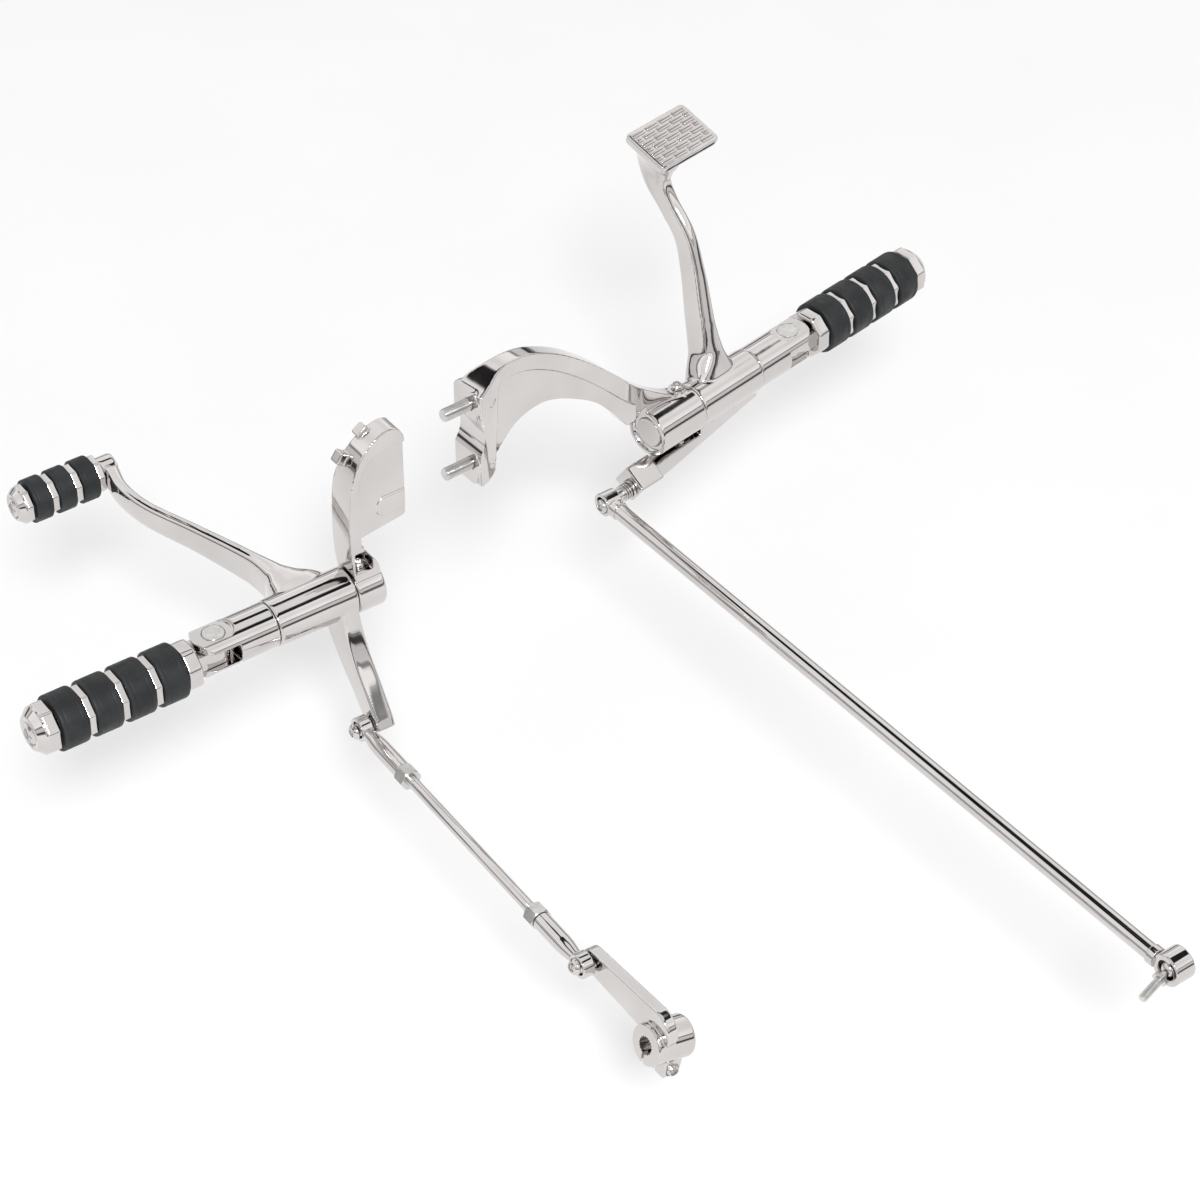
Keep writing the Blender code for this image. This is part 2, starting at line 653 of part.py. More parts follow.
def left_bracket():
    outer = through([(-0.0165, 0.0060), (-0.0192, 0.0250), (-0.0202, 0.0450), (-0.0200, 0.0660),
                     (-0.0180, 0.0860), (-0.0135, 0.1000), (-0.0060, 0.1115), (0.0040, 0.1195),
                     (0.0140, 0.1228), (0.0215, 0.1212), (MOUNT_X, MOUNT_HIGH)])
    inner = through([(-0.0100, 0.0435), (-0.0100, 0.0400), (-0.0080, 0.0330), (-0.0020, 0.0265),
                     (0.0010, 0.0200), (0.0015, 0.0120)])
    outline = [tuple(p) for p in outer]
    outline += [(MOUNT_X, MOUNT_LOW), (MOUNT_X - 0.0015, MOUNT_LOW - 0.0014)]
    outline += [tuple(p) for p in inner]
    outline += [(0.0015, 0.0), (-0.0165, 0.0)]
    body = plate("left_bracket", outline, RIM)
    bevel(body, 0.0022)
    part(body, "chrome", shift_side, HERE, UPRIGHT)

    edge = through([(-0.0118, 0.0860), (-0.0090, 0.0960), (-0.0030, 0.1040), (0.0060, 0.1085),
                    (0.0160, 0.1095), (2 * MOUNT_X, 0.1100)], 3)
    pocket = [(-0.0118, 0.0400)] + [tuple(p) for p in edge] + [(2 * MOUNT_X, 0.0400)]
    low_z = 0.0860
    rise = 0.1228 - low_z
    taper = atan2((RIM - LEFT_CREST) / 2, rise)
    for label, way in (("front", 1), ("rear", -1)):
        tool = plate("left_pocket_" + label, pocket, RIM)
        cut(body, place(tool, shift_side, (0, way * (LEFT_WEB + RIM) / 2, 0), UPRIGHT))
        size = 4 * rise
        wedge = box("left_taper_" + label, (size, RIM, size))
        swing = way * taper
        centre_y = way * (RIM / 2 + RIM / 2 * cos(taper)) - size / 2 * sin(swing)
        centre_z = low_z + size / 2 * cos(taper) + RIM / 2 * sin(taper)
        cut(body, place(wedge, shift_side, (0, centre_y, centre_z), (swing, 0, 0)))

    span = LEFT_SEAM + LEFT_BOSS_END
    soft = 0.0030
    boss = turned("left_boss", [(span, 0), (span, BOSS_R - soft), (span - soft * 0.3, BOSS_R - soft * 0.3),
                                (span - soft, BOSS_R), (0, BOSS_R), (0, 0)])
    low, high = LEFT_HOLES
    lug_x = MOUNT_X - MOUNT_HOLE_DEPTH + LEFT_LUG_R * 0.5
    lug_line = [(MOUNT_X - GAP, low - LEFT_LUG_R), (MOUNT_X - GAP, low + LEFT_LUG_R)]
    lug = plate("left_lug", lug_line + arc(lug_x, low, LEFT_LUG_R, pi / 2, 3 * pi / 2, 10), LEFT_LUG)
    bevel(lug, 0.0006, 1)
    lock_x, lock_y = LEFT_LOCK
    notch = rod("left_notch", NOTCH_R, NOTCH_TOP - LOCK_PAD_TOP, 0, FEW)
    cut(body, place(notch, shift_side, (lock_x, lock_y, LOCK_PAD_TOP)))
    shelf = box("left_shelf", (2 * NOTCH_R, RIM, NOTCH_TOP - LOCK_PAD_TOP))
    cut(body, place(shelf, shift_side, (lock_x, lock_y - RIM / 2, (NOTCH_TOP + LOCK_PAD_TOP) / 2)))
    pad, lock_hole = lock_pad("left", shift_side, LEFT_LOCK)
    ears = []
    for label, x, z, lean in (("lower", -0.0118, 0.1030, 55), ("upper", 0.0045, 0.1160, 35)):
        ear = soft_box("left_ear_" + label, (0.0090, 0.0080, 0.0130), 0.0008, 1)
        ears.append(place(ear, shift_side, (x, LEFT_CREST / 2 - 0.0005, z), (0, radians(-lean), 0)))
    unite(body, place(boss, shift_side, (-LEFT_SEAM, 0, 0), ALONG_X),
          place(lug, shift_side, HERE, UPRIGHT), pad, *ears)
    bore = place(rod("left_bore", BORE_R, LEFT_BORE + BOSS_R), shift_side,
                 (-LEFT_SEAM - BOSS_R, 0, 0), ALONG_X)
    taps = []
    for label, z in (("lower", low), ("upper", high)):
        tap = rod("left_tap_" + label, MOUNT_HOLE_R, 2 * MOUNT_HOLE_DEPTH, 0, 16)
        taps.append(place(tap, shift_side, (MOUNT_X - MOUNT_HOLE_DEPTH, 0, z), ALONG_X))
    cut(body, bore, lock_hole, *taps)


def lever_casting():
    """Hub, toe arm and link arm in one casting."""
    body = turned("shift_lever", [(HUB_LENGTH, 0), (HUB_LENGTH, HUB_END_R - 0.001),
                                  (HUB_LENGTH - 0.001, HUB_END_R), (0, HUB_R), (0, 0)])
    lever = empty("shift_lever_axis", shift_side, HERE)
    part(body, "chrome", lever, (-LEFT_SEAM - HUB_START, 0, 0), (0, -pi / 2, 0))
    middle = -LEFT_SEAM - HUB_START - HUB_LENGTH / 2
    tx, ty, tz = TIP
    arm = swept("toe_arm", [((middle, 0.0040, 0.0000), 0.0278, 0.0158),
                            ((middle - 0.0010, 0.0130, 0.0003), 0.0232, 0.0157),
                            ((middle - 0.0030, 0.0220, 0.0006), 0.0155, 0.0150),
                            ((middle - 0.0050, 0.0330, 0.0010), 0.0092, 0.0140),
                            ((middle - 0.0100, 0.0540, 0.0020), 0.0056, 0.0125),
                            ((-0.0740, 0.0970, 0.0050), 0.0047, 0.0105),
                            ((-0.0905, 0.1390, 0.0080), 0.0046, 0.0095),
                            ((-0.0935, 0.1640, 0.0095), 0.0050, 0.0090),
                            ((tx, ty - 0.0080, tz), 0.0060, 0.0088)], (0, 0, 1))
    tip = rod("toe_boss", TIP_R, TIP_BACK - TIP_FACE, 0.0012, 24)
    low, high = LINK_X
    link_mid = (low + high) / 2
    half = (high - low) / 2
    link = swept("link_arm", [((link_mid, -0.0040, -0.0060), half, 0.0140),
                              ((link_mid, -0.0100, -0.0220), half, 0.0130),
                              ((link_mid, -0.0210, -0.0400), half, 0.0110),
                              ((link_mid, -0.0350, -0.0580), half, 0.0095),
                              ((link_mid, ROD_PIVOT[1], ROD_PIVOT[2]), half, 0.0085),
                              ((link_mid, ROD_PIVOT[1] - 0.0040, ROD_PIVOT[2] - 0.0050), half - 0.0005,
                               0.0075)], (0, 1, 0), 12, 6.0)
    unite(body, place(arm, lever), place(tip, lever, (TIP_FACE, ty, tz), ALONG_X), place(link, lever))
    reach = 2 * HUB_LENGTH
    bore = place(rod("lever_bore", HUB_BORE_R, reach), left_hub, (-reach / 4, 0, 0), ALONG_X)
    tap = place(rod("toe_tap", TOE_SHANK_R + GAP, 2 * TOE_THREAD, 0, FEW), lever,
                (TIP_FACE - TOE_THREAD, ty, tz), ALONG_X)
    eye = place(rod("link_eye", EYE_SCREW_R + GAP, 4 * half, 0, 16), lever,
                (link_mid - 2 * half, ROD_PIVOT[1], ROD_PIVOT[2]), ALONG_X)
    grub = place(rod("toe_lock_hole", TOE_LOCK_R + GAP, TIP_R * 2, 0, 16), lever,
                 ((TIP_FACE + TIP_BACK) / 2, ty, tz - 2 * TIP_R))
    cut(body, bore, tap, eye, grub)
    return lever


def toe_peg(lever):
    tx, ty, tz = TIP
    frame = empty("toe_axis", lever, (TIP_FACE, ty, tz), (0, 0, pi))
    base, first, stop = core("toe_core", frame, GAP, TOE_COLLAR, TOE_COLLAR_AF, TOE_CORE_R,
                             TOE_RINGS, TOE_RING, TOE_RIB, TOE_RIB_AF, 0.0006)
    hole = rod("toe_core_hole", TOE_SHANK_R + GAP, 2 * stop, 0, FEW)
    cut(base, place(hole, frame, (-stop / 2, 0, 0), ALONG_X))
    rings("toe", frame, first, TOE_RINGS, TOE_RING, TOE_RIB, TOE_RING_R, TOE_CORE_R + GAP)
    seat = cap("toe_cap", frame, stop + GAP, TOE_CAP, TOE_CAP_AF, TOE_DOME, TOE_DOME_R,
               TOE_SCREW_R, TOE_SHANK_R)
    bolt = button_screw("toe_bolt", TOE_SCREW_R, TOE_DOME * 0.62, TOE_SHANK_R,
                        seat + TOE_THREAD - 2 * GAP, 0.62)
    part(bolt, "chrome", frame, (seat + GAP, 0, 0), ALONG_X)


def rod_end(side, frame, shank, kind_turn):
    """Eye with its ball, seen from the eye: the shank runs along -Y for turn 0."""
    eye = turned(side + "_rod_end", [(EYE, BALL_R + GAP), (EYE, EYE_R - 0.0008), (EYE - 0.0008, EYE_R),
                                     (0.0008, EYE_R), (0, EYE_R - 0.0008), (0, BALL_R + GAP)], SIDES)
    part(eye, "chrome", frame, (-EYE / 2, 0, 0), ALONG_X)
    inner = BALL_R + 0.0010
    neck = turned(side + "_shank", [(shank, 0), (shank, SHANK_R - 0.0006), (shank - 0.0006, SHANK_R),
                                    (shank * 0.48, SHANK_R), (shank * 0.22, SHANK_R * 0.84),
                                    (inner, SHANK_R * 0.70), (inner, 0)], FEW)
    unite(eye, place(neck, frame, HERE, (pi / 2 + kind_turn, 0, 0)))
    depth = ROD_THREAD + GAP
    bore = rod(side + "_rod_bore", ROD_R + GAP, 2 * depth, 0, FEW)
    start = shank - depth
    cut(eye, place(bore, frame, (0, -start * cos(kind_turn), 0), (pi / 2 + kind_turn, 0, 0)))


def eye_ball(name, frame, screw_r, width):
    """Bored ball with flat faces, its bore along X."""
    bore_r = screw_r + GAP
    face = bore_r + 0.0012
    top = atan2(width * 0.44, face)
    steps = 5
    swell = [(BALL_R * sin(top - 2 * top * i / steps), BALL_R * cos(top - 2 * top * i / steps))
             for i in range(steps + 1)]
    ring = [(width / 2, bore_r), (width / 2, face)] + swell + [(-width / 2, face), (-width / 2, bore_r)]
    part(turned(name, ring, FEW), "steel", frame, HERE, ALONG_X)


def shift_rod(lever):
    """Rod with an eye at each end; the frame's -Y runs down the rod."""
    frame = empty("shift_rod_axis", lever, ROD_PIVOT, (0, 0, ROD_YAW))
    lower = empty("lower_eye", frame, (0, -ROD_SPAN, 0))
    rod_end("upper", frame, UPPER_SHANK, 0.0)
    rod_end("lower", lower, LOWER_SHANK, pi)
    start = UPPER_SHANK - ROD_THREAD
    stop = ROD_SPAN - LOWER_SHANK + ROD_THREAD
    bar = rod("shift_rod", ROD_R, stop - start, 0.0006, FEW)
    part(bar, "chrome", frame, (0, -start, 0), (pi / 2, 0, 0))
    for label, near in (("upper", UPPER_SHANK + GAP), ("lower", ROD_SPAN - LOWER_SHANK - GAP - JAM)):
        nut = turned(label + "_jam_nut", [(JAM, ROD_R + GAP), (JAM, JAM_R - 0.0012), (JAM - 0.0012, JAM_R),
                                          (0.0012, JAM_R), (0, JAM_R - 0.0012), (0, ROD_R + GAP)], 12)
        part(nut, "zinc", frame, (0, -near, 0), (pi / 2, 0, 0))
    return lower


def upper_joint(lever):
    """Ball and button screw that carry the rod on the lever's link arm."""
    turn = empty("upper_eye", lever, ROD_PIVOT)
    eye_ball("upper_ball", turn, EYE_SCREW_R, BALL)
    screw = button_screw("upper_eye_screw", BUTTON_R, BUTTON, EYE_SCREW_R, BALL + LINK_X[1] - LINK_X[0])
    part(screw, "chrome", turn, (-BALL / 2 - GAP, 0, 0), (0, -pi / 2, 0))


def shifter_arm(lower):
    """Arm that clamps the gearbox shaft; its frame is tilted with that shaft."""
    tilt = empty("shifter_arm_axis", lower, HERE, (0, ARM_TILT, -ROD_YAW))
    near = BALL / 2 + 2 * GAP + 0.0006
    clamp = turned("shifter_arm", [(CLAMP, 0), (CLAMP, CLAMP_R - 0.0015), (CLAMP - 0.0015, CLAMP_R),
                                   (0.0010, CLAMP_R), (0, CLAMP_R - 0.0010), (0, 0)])
    part(clamp, "chrome", tilt, (CLAMP_FACE, CLAMP_Y, CLAMP_Z), ALONG_X)
    length = hypot(CLAMP_Y, CLAMP_Z)
    fall = atan2(-CLAMP_Z, -CLAMP_Y)
    big = CLAMP_R - 0.0004
    lean = atan2(big - ARM_END_R, length)
    outline = arc(0, 0, ARM_END_R, -pi / 2 - lean, -3 * pi / 2 + lean, 10)
    outline += arc(length, 0, big, pi / 2 + lean, -pi / 2 - lean, 12)
    blade = plate("arm_blade", outline, ARM)
    bevel(blade, 0.0012)
    place(blade, tilt, (near + ARM / 2, 0, 0), (pi / 2 + fall, 0, -pi / 2))
    lug_z = CLAMP_Z - CLAMP_R * 0.5 - PINCH_DROP / 2 + CLAMP_R * 0.25
    lug = soft_box("pinch_lug", (PINCH, PINCH_WIDTH, PINCH_DROP - CLAMP_R * 0.5), 0.0010, 1)
    lug_x = CLAMP_FACE + PINCH_START + PINCH / 2
    unite(clamp, blade, place(lug, tilt, (lug_x, CLAMP_Y, lug_z)))
    teeth = []
    for i in range(2 * SPLINES):
        a = pi * i / SPLINES
        r = SPLINE_R - (SPLINE_TOOTH if i % 2 else 0)
        teeth.append((r * cos(a), r * sin(a)))
    spline = plate("spline_bore", teeth, 2 * CLAMP)
    place(spline, tilt, (CLAMP_FACE + CLAMP / 2, CLAMP_Y, CLAMP_Z), ALONG_X)
    slit = box("clamp_split", (3 * CLAMP, SPLIT, PINCH_DROP * 1.5))
    place(slit, tilt, (CLAMP_FACE + CLAMP / 2, CLAMP_Y, CLAMP_Z - PINCH_DROP * 0.75))
    eye = place(rod("arm_eye", EYE_SCREW_R + GAP, 4 * ARM, 0, 16), tilt, (near - ARM, 0, 0), ALONG_X)
    bolt_z = CLAMP_Z - CLAMP_R - PINCH_HEAD_R * 0.85
    pinch = place(rod("pinch_hole", PINCH_R + GAP, 2 * PINCH_WIDTH, 0, 16), tilt,
                  (lug_x, CLAMP_Y - PINCH_WIDTH, bolt_z), ALONG_Y)
    sink = place(rod("pinch_seat", PINCH_HEAD_R + GAP, PINCH_WIDTH, 0, FEW), tilt,
                 (lug_x, CLAMP_Y - PINCH_WIDTH / 2 + PINCH_HEAD * 0.5, bolt_z), (pi / 2, 0, 0))
    cut(clamp, spline, slit, eye, pinch, sink)
    reach = PINCH_WIDTH - PINCH_HEAD * 0.5 - GAP
    bolt = button_screw("pinch_bolt", PINCH_HEAD_R, PINCH_HEAD, PINCH_R, reach, 0.62, 0.80)
    part(bolt, "zinc", tilt, (lug_x, CLAMP_Y - PINCH_WIDTH / 2 + PINCH_HEAD * 0.5 - GAP, bolt_z), (pi / 2, 0, 0))
    eye_ball("lower_ball", tilt, EYE_SCREW_R, BALL)
    screw = button_screw("lower_eye_screw", BUTTON_R, BUTTON, EYE_SCREW_R, BALL + ARM)
    part(screw, "chrome", tilt, (-BALL / 2 - GAP, 0, 0), (0, -pi / 2, 0))


# Brake side

brake_side = empty("brake_side", shift_side, RIGHT_PLACE + (0,), (0, 0, RIGHT_YAW))
right_hub = empty("right_hub_axis", brake_side, (RIGHT_BOSS, 0, 0))
right_peg = empty("right_fold_axis", right_hub, (PIN_AT, 0, 0))
frame_end = empty("frame_end", brake_side, (END_X, 0, 0), (0, 0, END_YAW))


def right_bracket():
    """C-shaped bracket that reaches over the exhaust from the frame to the boss."""
    crest = [(-0.1600, 0.1320), (-0.1450, 0.1370), (-0.1300, 0.1365), (-0.1150, 0.1325),
             (-0.0980, 0.1240), (-0.0800, 0.1120), (-0.0600, 0.0955), (-0.0400, 0.0765),
             (-0.0230, 0.0590), (-0.0060, 0.0430), (0.0100, 0.0300), (0.0260, 0.0200), (0.0410, 0.0140)]
    outer = through([(END_X, 0.1270)] + crest)
    belly = [(0.0, 0.0080), (-0.0120, 0.0105), (-0.0260, 0.0250), (-0.0380, 0.0410), (-0.0550, 0.0590),
             (-0.0720, 0.0710), (-0.0920, 0.0820), (-0.1050, 0.0860), (-0.1190, 0.0860), (-0.1320, 0.0820),
             (-0.1430, 0.0730), (-0.1510, 0.0640), (-0.1590, 0.0570)]
    inner = through(belly + [(END_X, 0.0540)])
    outline = [tuple(p) for p in outer] + [(0.0410, 0.0), (0.0100, 0.0)] + [tuple(p) for p in inner]
    body = plate("right_bracket", outline, RIM)
    bevel(body, 0.0026)
    part(body, "chrome", brake_side, HERE, UPRIGHT)

    inset = []
    ridge = through(crest, 3)
    for i in range(len(ridge)):
        ahead = (ridge[min(i + 1, len(ridge) - 1)] - ridge[max(i - 1, 0)]).normalized()
        inset.append((ridge[i].x + ahead.y * RIGHT_RIM, ridge[i].y - ahead.x * RIGHT_RIM))
    keep = [p for p in inset if -0.1500 < p[0] < POCKET_END] + [(POCKET_END, 0.0100)]
    inside = arc(-0.1080, 0.0060, 0.0560, radians(25), radians(150), 8)
    pocket = keep + inside
    waist = through([(END_X - 0.0100, RIM / 2 + 0.0020), (END_X + 0.0100, RIM / 2 - 0.0008),
                     (-0.1450, RIGHT_WAIST / 2 + 0.0008), (-0.1250, RIGHT_WAIST / 2),
                     (-0.0950, RIGHT_WAIST / 2 + 0.0004), (-0.0700, RIGHT_WAIST / 2 + 0.0022),
                     (-0.0500, RIM / 2 - 0.0020), (-0.0350, RIM / 2 - 0.0004),
                     (-0.0250, RIM / 2 + 0.0020)], 3)
    for label, way in (("front", 1), ("rear", -1)):
        tool = plate("right_pocket_" + label, pocket, RIM)
        cut(body, place(tool, brake_side, (0, way * (RIGHT_WEB + RIM) / 2, 0), UPRIGHT))
        side = [(x, way * y) for x, y in waist] + [(-0.0250, way * RIM), (END_X - 0.0100, way * RIM)]
        shave = plate("right_waist_" + label, side, 0.4)
        cut(body, place(shave, brake_side))
    root = through([(-0.0380, -RIM * 0.56), (-0.0270, -0.0092), (-0.0150, -0.0042), (-0.0040, 0.0002),
                    (0.0100, 0.0012), (0.0300, -0.0030), (0.0450, -RIM * 0.56)], 3)
    scallop = [tuple(p) for p in root] + [(0.0450, -2 * RIM), (-0.0380, -2 * RIM)]
    cut(body, place(plate("right_root", scallop, 0.4), brake_side))

    face = place(rod("right_boss_clear", ROOT_CLEAR_R, 0.04, 0, SIDES), brake_side, (2 * GAP - 0.04, 0, 0), ALONG_X)
    cut(body, face)
    soft = 0.0016
    boss = turned("right_boss", [(RIGHT_BOSS, 0), (RIGHT_BOSS, BOSS_R - soft * 0.5),
                                 (RIGHT_BOSS - soft * 0.5, BOSS_R), (0, BOSS_R), (0, 0)])
    low, high = STUD_Z
    lugs = []
    for label, z in (("lower", low), ("upper", high)):
        lug = turned("right_lug_" + label, [(STUD_IN + 0.0080, 0), (STUD_IN + 0.0050, LUG_R * 0.7),
                                            (STUD_IN, LUG_R), (0, LUG_R), (0, 0)], FEW)
        lugs.append(place(lug, frame_end, (-0.0040, STUD_Y, z), ALONG_X))
    pad, lock_hole = lock_pad("right", brake_side, RIGHT_LOCK)
    near_y, far_y = PAD_FACE
    pad_low, pad_high = PAD_SPAN
    foot = soft_box("end_pad", (PAD_DEPTH, far_y - near_y, pad_high - pad_low), 0.0035, 2)
    lugs.append(place(foot, frame_end, (PAD_DEPTH / 2 - 0.0030, (near_y + far_y) / 2,
                                        (pad_low + pad_high) / 2)))
    unite(body, place(boss, brake_side, HERE, ALONG_X), pad, *lugs)
    trim = place(box("end_trim", (0.04, 4 * RIM, 0.2)), frame_end, (-0.02, 0, 0.09))
    scoop_r = 0.0230
    scoop = place(rod("end_scoop", scoop_r, 3 * RIM, 0, SIDES), frame_end,
                  (0.0048 - scoop_r, -1.5 * RIM, (low + high) / 2), ALONG_Y)
    bore = place(rod("right_bore", BORE_R, 2 * RIGHT_BOSS), brake_side, (-RIGHT_BOSS / 2, 0, 0), ALONG_X)
    seat = place(rod("right_seat", DISC_R, 2 * DISC_DEPTH), brake_side, (-DISC_DEPTH, 0, 0), ALONG_X)
    holes = []
    for label, z in (("lower", low), ("upper", high)):
        hole = rod("stud_hole_" + label, STUD_R + GAP, 2 * STUD_IN, 0, FEW)
        holes.append(place(hole, frame_end, (-STUD_IN, STUD_Y, z), ALONG_X))
    cut(body, trim, scoop, bore, seat, lock_hole, *holes)
    for label, z in (("lower", low), ("upper", high)):
        stud = rod("right_stud_" + label, STUD_R, STUD_OUT + STUD_IN - GAP, 0.0010, FEW)
        part(stud, "zinc", frame_end, (STUD_IN - GAP, STUD_Y, z), (0, -pi / 2, 0))


def brake_pedal():
    """Hub, arm, ribbed pad and crank in one casting."""
    pedal = empty("brake_pedal_axis", brake_side, HERE)
    body = turned("brake_pedal", [(HUB_LENGTH, 0), (HUB_LENGTH, HUB_END_R - 0.001),
                                  (HUB_LENGTH - 0.001, HUB_END_R), (0, HUB_R), (0, 0)])
    part(body, "chrome", pedal, (RIGHT_BOSS + HUB_START, 0, 0), ALONG_X)
    middle = RIGHT_BOSS + HUB_START + HUB_LENGTH / 2
    px, py, pz = PAD_PLACE
    lean = px - middle
    arm = swept("pedal_arm", [((middle - 0.0040, 0.0020, 0.0020), 0.0235, 0.0120),
                              ((middle - 0.0030, 0.0070, 0.0150), 0.0175, 0.0125),
                              ((middle - 0.0010, 0.0125, 0.0280), 0.0095, 0.0125),
                              ((middle + lean * 0.06, 0.0200, 0.0480), 0.0062, 0.0118),
                              ((middle + lean * 0.48, 0.0325, 0.0800), 0.0050, 0.0100),
                              ((middle + lean * 0.70, 0.0440, 0.1050), 0.0047, 0.0088),
                              ((middle + lean * 0.78, 0.0600, 0.1220), 0.0048, 0.0088),
                              ((middle + lean * 0.78, 0.0715, 0.1380), 0.0055, 0.0115),
                              ((middle + lean * 0.70, 0.0720, 0.1520), 0.0075, 0.0150),
                              ((middle + lean * 0.55, 0.0680, 0.1630), 0.0120, 0.0170),
                              ((px - 0.0080, py + 0.0040, pz - 0.0010), 0.0160, 0.0170)], (0, 1, 0))
    plane = empty("pad_plane", pedal, PAD_PLACE, (PAD_TILT, 0, 0))
    tray = soft_box("pad_tray", PAD, 0.0010, 1)
    unite(body, place(arm, pedal), place(tray, plane))
    wide, deep, thick = PAD
    step = (deep - 2 * PAD_BORDER) / PAD_ROWS
    bars = []
    for i in range(PAD_ROWS):
        y = -deep / 2 + PAD_BORDER + (i + 0.5) * step
        bar = box("pad_bar_" + str(i + 1), (wide - 2 * PAD_BORDER, PAD_BAR, 2 * PAD_RAISE))
        bars.append(place(bar, plane, (0, y, thick / 2)))
    unite(body, *bars)
    cx, cy, cz = CRANK_CENTRE
    bx, by, bz = CRANK_BLOCK
    clear_r = BOSS_R + LINK_GAP
    end = RIGHT_BOSS + HUB_STOP - 0.0020
    outline = [(cx, cz - bz / 2), (cx, -clear_r - 0.0035), (RIGHT_BOSS * 0.25, -clear_r - 0.0010),
               (RIGHT_BOSS, -clear_r), (RIGHT_BOSS + HUB_START, -clear_r), (RIGHT_BOSS + HUB_START, -HUB_R * 0.55),
               (end, -HUB_R * 0.55), (end, -HUB_END_R + 0.0010)]
    bar = plate("crank_bar", outline, CRANK)
    block = soft_box("crank_block", CRANK_BLOCK, 0.0012, 1)
    reach = 2 * HUB_LENGTH
    bore = place(rod("pedal_bore", HUB_BORE_R, reach), right_hub, (-reach / 4, 0, 0), ALONG_X)
    eye = place(rod("crank_eye", FRONT_BOLT_R + GAP, 2 * bx, 0, 16), pedal, (cx - bx, NEAR_EYE[1], NEAR_EYE[2]),
                ALONG_X)
    unite(body, place(bar, pedal, (0, cy, 0), UPRIGHT),
          place(block, pedal, CRANK_CENTRE, (CRANK_TILT, 0, 0)))
    sx, sy = STOP_PLACE
    stop_top = -BOSS_R - 2 * GAP
    pit = place(rod("stop_hole", STOP_R + GAP, 2 * STOP_LENGTH, 0, 16), pedal,
                (sx, sy, stop_top - STOP_LENGTH - GAP))
    cut(body, bore, eye, pit)
    screw = rod("stop_screw", STOP_R, STOP_LENGTH, 0.0005, 16)
    key = place(hexagon("stop_key", STOP_R, STOP_LENGTH), screw, (0, 0, STOP_LENGTH * 0.75))
    cut(screw, key)
    part(screw, "zinc", pedal, (sx, sy, stop_top - STOP_LENGTH))
    return pedal


def brake_rod(pedal):
    """Long rod from the pedal's crank back to the master cylinder."""
    eye = empty("brake_rod_axis", pedal, NEAR_EYE, (BRAKE_PITCH, 0, BRAKE_YAW))
    far = empty("rear_socket", eye, (0, -BRAKE_SPAN, 0))
    start = BALL_R + 0.0014
    bar = rod("brake_rod", BRAKE_R, BRAKE_SPAN - start - SOCKET_R - 0.0014, 0, SIDES, 0.05)
    part(bar, "chrome", eye, (0, -start, 0), (pi / 2, 0, 0))
    near = turned("near_housing", [(NEAR_WIDTH, 0), (NEAR_WIDTH, NEAR_R - 0.0010), (NEAR_WIDTH - 0.0010, NEAR_R),
                                   (0.0010, NEAR_R), (0, NEAR_R - 0.0010), (0, 0)], SIDES)
    ferrule = rod("near_ferrule", FERRULE_R, FERRULE, 0.0006, SIDES)
    tail = FAR_WIDTH - SOCKET_DEPTH
    housing = turned("far_housing", [(FAR_WIDTH, 0), (FAR_WIDTH, FAR_R - 0.0012), (FAR_WIDTH - 0.0012, FAR_R),
                                     (0.0012, FAR_R), (0, FAR_R - 0.0012), (0, 0)])
    collar = rod("far_ferrule", FERRULE_R, FERRULE, 0.0006, SIDES)
    unite(bar, place(near, eye, (-NEAR_WIDTH / 2, 0, 0), ALONG_X),
          place(ferrule, eye, (0, -NEAR_R + 0.0010, 0), (pi / 2, 0, 0)),
          place(housing, far, (-SOCKET_DEPTH / 2, 0, 0), ALONG_X),
          place(collar, far, (0, FAR_R + FERRULE - 0.0010, 0), (pi / 2, 0, 0)))
    hole = place(rod("near_bore", BALL_R + GAP, 2 * NEAR_WIDTH, 0, SIDES), eye, (-NEAR_WIDTH, 0, 0), ALONG_X)
    inward = SOCKET_DEPTH / 2 + tail
    socket = place(rod("far_socket", SOCKET_R, inward + REAR_BALL_R + GAP, 0, SIDES), far,
                   (-inward, 0, 0), ALONG_X)
    cut(bar, hole, socket)
    front_joint(pedal)
    rear_stud(far)


def front_joint(pedal):
    """Ball, spacer and screw that carry the rod on the pedal's crank."""
    turn = empty("front_pivot", pedal, NEAR_EYE)
    bore_r = FRONT_BOLT_R + GAP
    eye_ball("front_ball", turn, FRONT_BOLT_R, BALL)
    seat = CRANK_CENTRE[0] - CRANK_BLOCK[0] / 2 - NEAR_EYE[0] - GAP
    start = BALL / 2 + GAP
    flange = seat - FRONT_FLANGE
    spacer = turned("front_spacer", [(seat, bore_r), (seat, FRONT_FLANGE_R), (flange, FRONT_FLANGE_R),
                                     (flange, FRONT_NECK_R), (flange - 0.0016, FRONT_NECK_R),
                                     (flange - 0.0016, FRONT_FLANGE_R - 0.0008),
                                     (flange - 0.0036, FRONT_FLANGE_R - 0.0008),
                                     (flange - 0.0036, FRONT_NECK_R), (start, FRONT_NECK_R - 0.0004),
                                     (start, bore_r)], FEW)
    part(spacer, "zinc", turn, HERE, ALONG_X)
    reach = BALL / 2 + GAP + seat + FRONT_THREAD
    screw = button_screw("front_bolt", FRONT_HEAD_R, BUTTON, FRONT_BOLT_R, reach)
    part(screw, "zinc", turn, (-BALL / 2 - GAP, 0, 0), (0, -pi / 2, 0))


